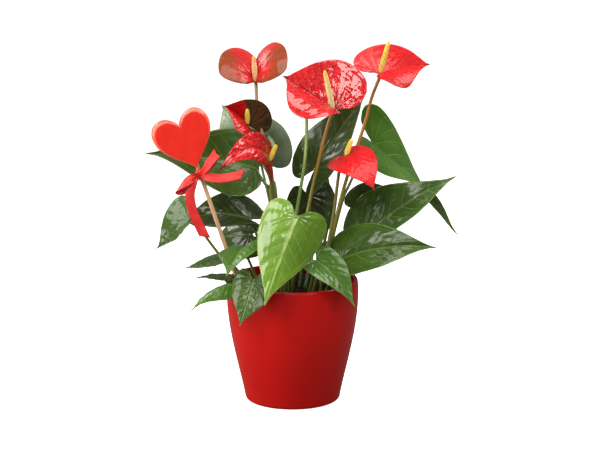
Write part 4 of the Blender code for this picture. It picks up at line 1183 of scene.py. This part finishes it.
ribbon = {
    "width": 10.0, "thickness": 0.4, "knotWidth": 5.5, "knotLength": 20.0, "slant": 7.0,
    "knot": (14.1, 15.1, 66.7),  # from the low corner of the bow's box
    "knotSize": (4.6, 4.4, 5.2), "knotRings": 14, "knotSides": 28, "steps": 60, "columns": 8,
    # middle lines from the knot, in millimetres, and the way the width lies
    "strips": {
        "leftLoop": dict(
            line=((0, -2, 0), (-7, -8, -3), (-16, -10, -9), (-22, -8, -15), (-18, -5, -16), (-9, -3, -10),
                  (-1, -1, -2)), across=(-.55, -.35, -.75)),
        "rightLoop": dict(
            line=((1, -2, 0), (7, -7, 8), (14, -10, 18), (18, -8, 23), (16, -5, 19), (10, -2, 9), (3, 0, 1)),
            across=(.5, -.5, -.7)),
        "longTail": dict(
            line=((-1, -2, -1), (-7, -8, -8), (-10, -10, -21), (-7, -10, -38), (-1, -9, -52), (5, -9, -65)),
            across=(.95, .1, .3), free=True),
        "sideTail": dict(
            line=((1, -2, 0), (9, -8, -2), (21, -10, -3), (34, -11, -1), (45, -11, 2)),
            across=(.1, .6, .8), free=True),
    },
}


def ribbonStrip(strip, knot):
    # gathered to the knot's width where it leaves it, with a slanting cut on a free end
    steps, columns, free = ribbon["steps"], ribbon["columns"], strip.get("free")
    line = knot + catmull(np.array(strip["line"], float), np.linspace(0, 1, steps + 1)) * mm
    heading = unit(np.gradient(line, axis=0))
    travel = np.concatenate([[0], np.cumsum(np.linalg.norm(np.diff(line, axis=0), axis=1))])
    near = np.minimum(travel, np.inf if free else travel[-1] - travel)
    opened = np.clip(near / (14 * mm), 0, 1) ** 0.7
    width = ribbon["knotWidth"] + (ribbon["width"] - ribbon["knotWidth"]) * opened
    points, maps = [], []
    side = unit(np.array(strip["across"], float))
    for layer in (0.5, -0.5):
        for i in range(steps + 1):
            wide = unit(side - heading[i] * side.dot(heading[i]))
            normal = np.cross(heading[i], wide)
            gather = max(0.0, 1 - near[i] / (16 * mm))
            cut = ribbon["slant"] * max(0, i - steps + 6) / 6 if free else 0.0
            for j in range(columns + 1):
                u = j / columns
                pleat = math.cos(u * math.pi * 4) * 0.9 * gather + math.sin(u * math.pi) * 0.8
                lift = pleat + layer * ribbon["thickness"]
                offset = wide * (u - 0.5) * width[i] + normal * lift + heading[i] * (u - 0.5) * cut
                points.append(line[i] + offset * mm)
                maps.append((travel[i], u, layer))
    row, under = columns + 1, (steps + 1) * (columns + 1)
    faces = []
    for i in range(steps):
        for j in range(columns):
            a, b = i * row + j, (i + 1) * row + j
            faces.append((a, b, b + 1, a + 1))
            faces.append((a + under, a + 1 + under, b + 1 + under, b + under))
    rim = list(range(columns)) + [i * row + columns for i in range(steps)]
    rim += [steps * row + j for j in range(columns, 0, -1)] + [i * row for i in range(steps, 0, -1)]
    for a, b in zip(rim, rim[1:] + rim[:1]):
        faces.append((a, b, b + under, a + under))
    return np.array(points), faces, [0] * len(faces), {"ribbonMap": np.array(maps)}, travel[-1]


def ribbonKnot(knot):
    rings, n, size = ribbon["knotRings"], ribbon["knotSides"], np.array(ribbon["knotSize"])
    points, maps, faces = [], [], []
    for i in range(rings + 1):
        v = math.pi * (0.03 + 0.94 * i / rings)
        for k in range(n):
            u = 2 * math.pi * k / n
            fold = 1 + 0.07 * math.cos(5 * u + 2 * v) + 0.04 * math.cos(9 * u)
            outward = np.array((math.sin(v) * math.cos(u), math.sin(v) * math.sin(u), math.cos(v)))
            points.append(knot + outward * size * fold * mm)
            maps.append((u * size[0] * mm, i / rings, 0.0))
    for i in range(rings):
        for k in range(n):
            a, b = i * n + k, i * n + (k + 1) % n
            faces.append((a, a + n, b + n, b))
    faces += [tuple(range(n)), tuple(rings * n + k for k in reversed(range(n)))]
    return np.array(points), faces, [0] * len(faces), {"ribbonMap": np.array(maps)}


def makeRibbon():
    knot = np.array(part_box("ribbon_bow")[0]) + np.array(ribbon["knot"]) * mm
    strips = [ribbonStrip(strip, knot) for strip in ribbon["strips"].values()]
    points, faces, slots, maps = joinParts([strip[:4] for strip in strips] + [ribbonKnot(knot)])
    piece = facesOut(makePiece("ribbon_bow_satin", points, faces, [makeSatin()], slots, maps))
    settle(piece, "satin_ribbon", "ribbon_bow")


makeRibbon()


# floor, light and camera

stage = {
    "floorSize": 12.0, "floorLevel": -0.0004, "floorTone": (0.86, 0.86, 0.86),
    "bounceTone": (0.14, 0.13, 0.12), "glow": (0.93, 0.93, 0.93),
    "backdrop": 1.0, "ambient": 0.26, "lightTint": (1.0, 0.97, 0.91), "aim": (0.0, 0.0, 0.2),
}


def makeFloor():
    size, level = stage["floorSize"], stage["floorLevel"]
    corners = [(x * size, y * size, level) for x, y in ((-1, -1), (1, -1), (1, 1), (-1, 1))]
    paper = Finish("studioPaper", 0.9, Specular_IOR_Level=0.1)
    seen = addNode(paper.tree, "ShaderNodeLightPath").outputs["Is Camera Ray"]
    paper.set("Base Color", mixColour(paper.tree, seen, stage["bounceTone"], stage["floorTone"]))
    paper.set("Emission Color", mixColour(paper.tree, seen, (0.0, 0.0, 0.0), stage["glow"]))
    paper.set("Emission Strength", 1.0)
    makePiece("studioFloor", corners, [(0, 1, 2, 3)], [paper.material], smooth=False)


def makeWorld():
    world = bpy.data.worlds.new("studio")
    bpy.context.scene.world = world
    world.use_nodes = True
    tree = world.node_tree
    seen = nodeOut(tree, "ShaderNodeBackground", {
        "Color": (1.0, 1.0, 1.0, 1.0), "Strength": stage["backdrop"]})
    around = nodeOut(tree, "ShaderNodeBackground", {
        "Color": (*stage["lightTint"], 1.0), "Strength": stage["ambient"]})
    ray = addNode(tree, "ShaderNodeLightPath").outputs["Is Camera Ray"]
    choice = nodeOut(tree, "ShaderNodeMixShader", {0: ray, 1: around, 2: seen})
    tree.links.new(choice, tree.nodes["World Output"].inputs[0])


softboxes = {  # place, width and height, strength in watts
    "overhead": ((0.0, -0.02, 1.3), (0.8, 0.5), 7.5),
    "rightTop": ((0.7, 0.15, 1.15), (0.6, 0.5), 9.0),
    "leftSide": ((-1.12, -0.26, 0.45), (0.7, 0.8), 14.0),
    "leftFront": ((-0.5, -0.85, 1.05), (0.4, 0.4), 6.0),
    "rightFront": ((0.9, -1.3, 1.1), (0.5, 0.5), 9.0),
    "frontFill": ((-0.3, -2.0, 1.3), (0.6, 0.6), 12.0),
    "behindLeft": ((-0.75, 0.8, 0.8), (0.5, 0.5), 5.0),
}


def makeLights():
    for name, (place, size, strength) in softboxes.items():
        lamp = bpy.data.lights.new(name, "AREA")
        lamp.shape = "RECTANGLE"
        lamp.size, lamp.size_y = size
        lamp.energy = strength
        lamp.color = stage["lightTint"]
        light = bpy.data.objects.new(name, lamp)
        light.location = place
        toward = Vector(stage["aim"]) - Vector(place)
        light.rotation_euler = toward.to_track_quat("-Z", "Y").to_euler()
        bpy.context.scene.collection.objects.link(light)


camera = {"target": (7.9, 0.0, 188.0), "distance": 2.2, "elevation": 12.0, "lens": 125.4}


def makeCamera():
    data = bpy.data.cameras.new("camera")
    data.lens, data.sensor_width = camera["lens"], 36.0
    data.clip_start, data.clip_end = 0.05, 60.0
    eye = bpy.data.objects.new("camera", data)
    lift = math.radians(camera["elevation"])
    back = Vector((0, -math.cos(lift), math.sin(lift)))
    eye.location = Vector(camera["target"]) * mm + back * camera["distance"]
    eye.rotation_euler = (-back).to_track_quat("-Z", "Y").to_euler()
    bpy.context.scene.collection.objects.link(eye)
    bpy.context.scene.camera = eye


makeFloor()
makeWorld()
makeLights()
makeCamera()
bpy.context.scene.view_settings.view_transform = "Standard"
print("stage set")
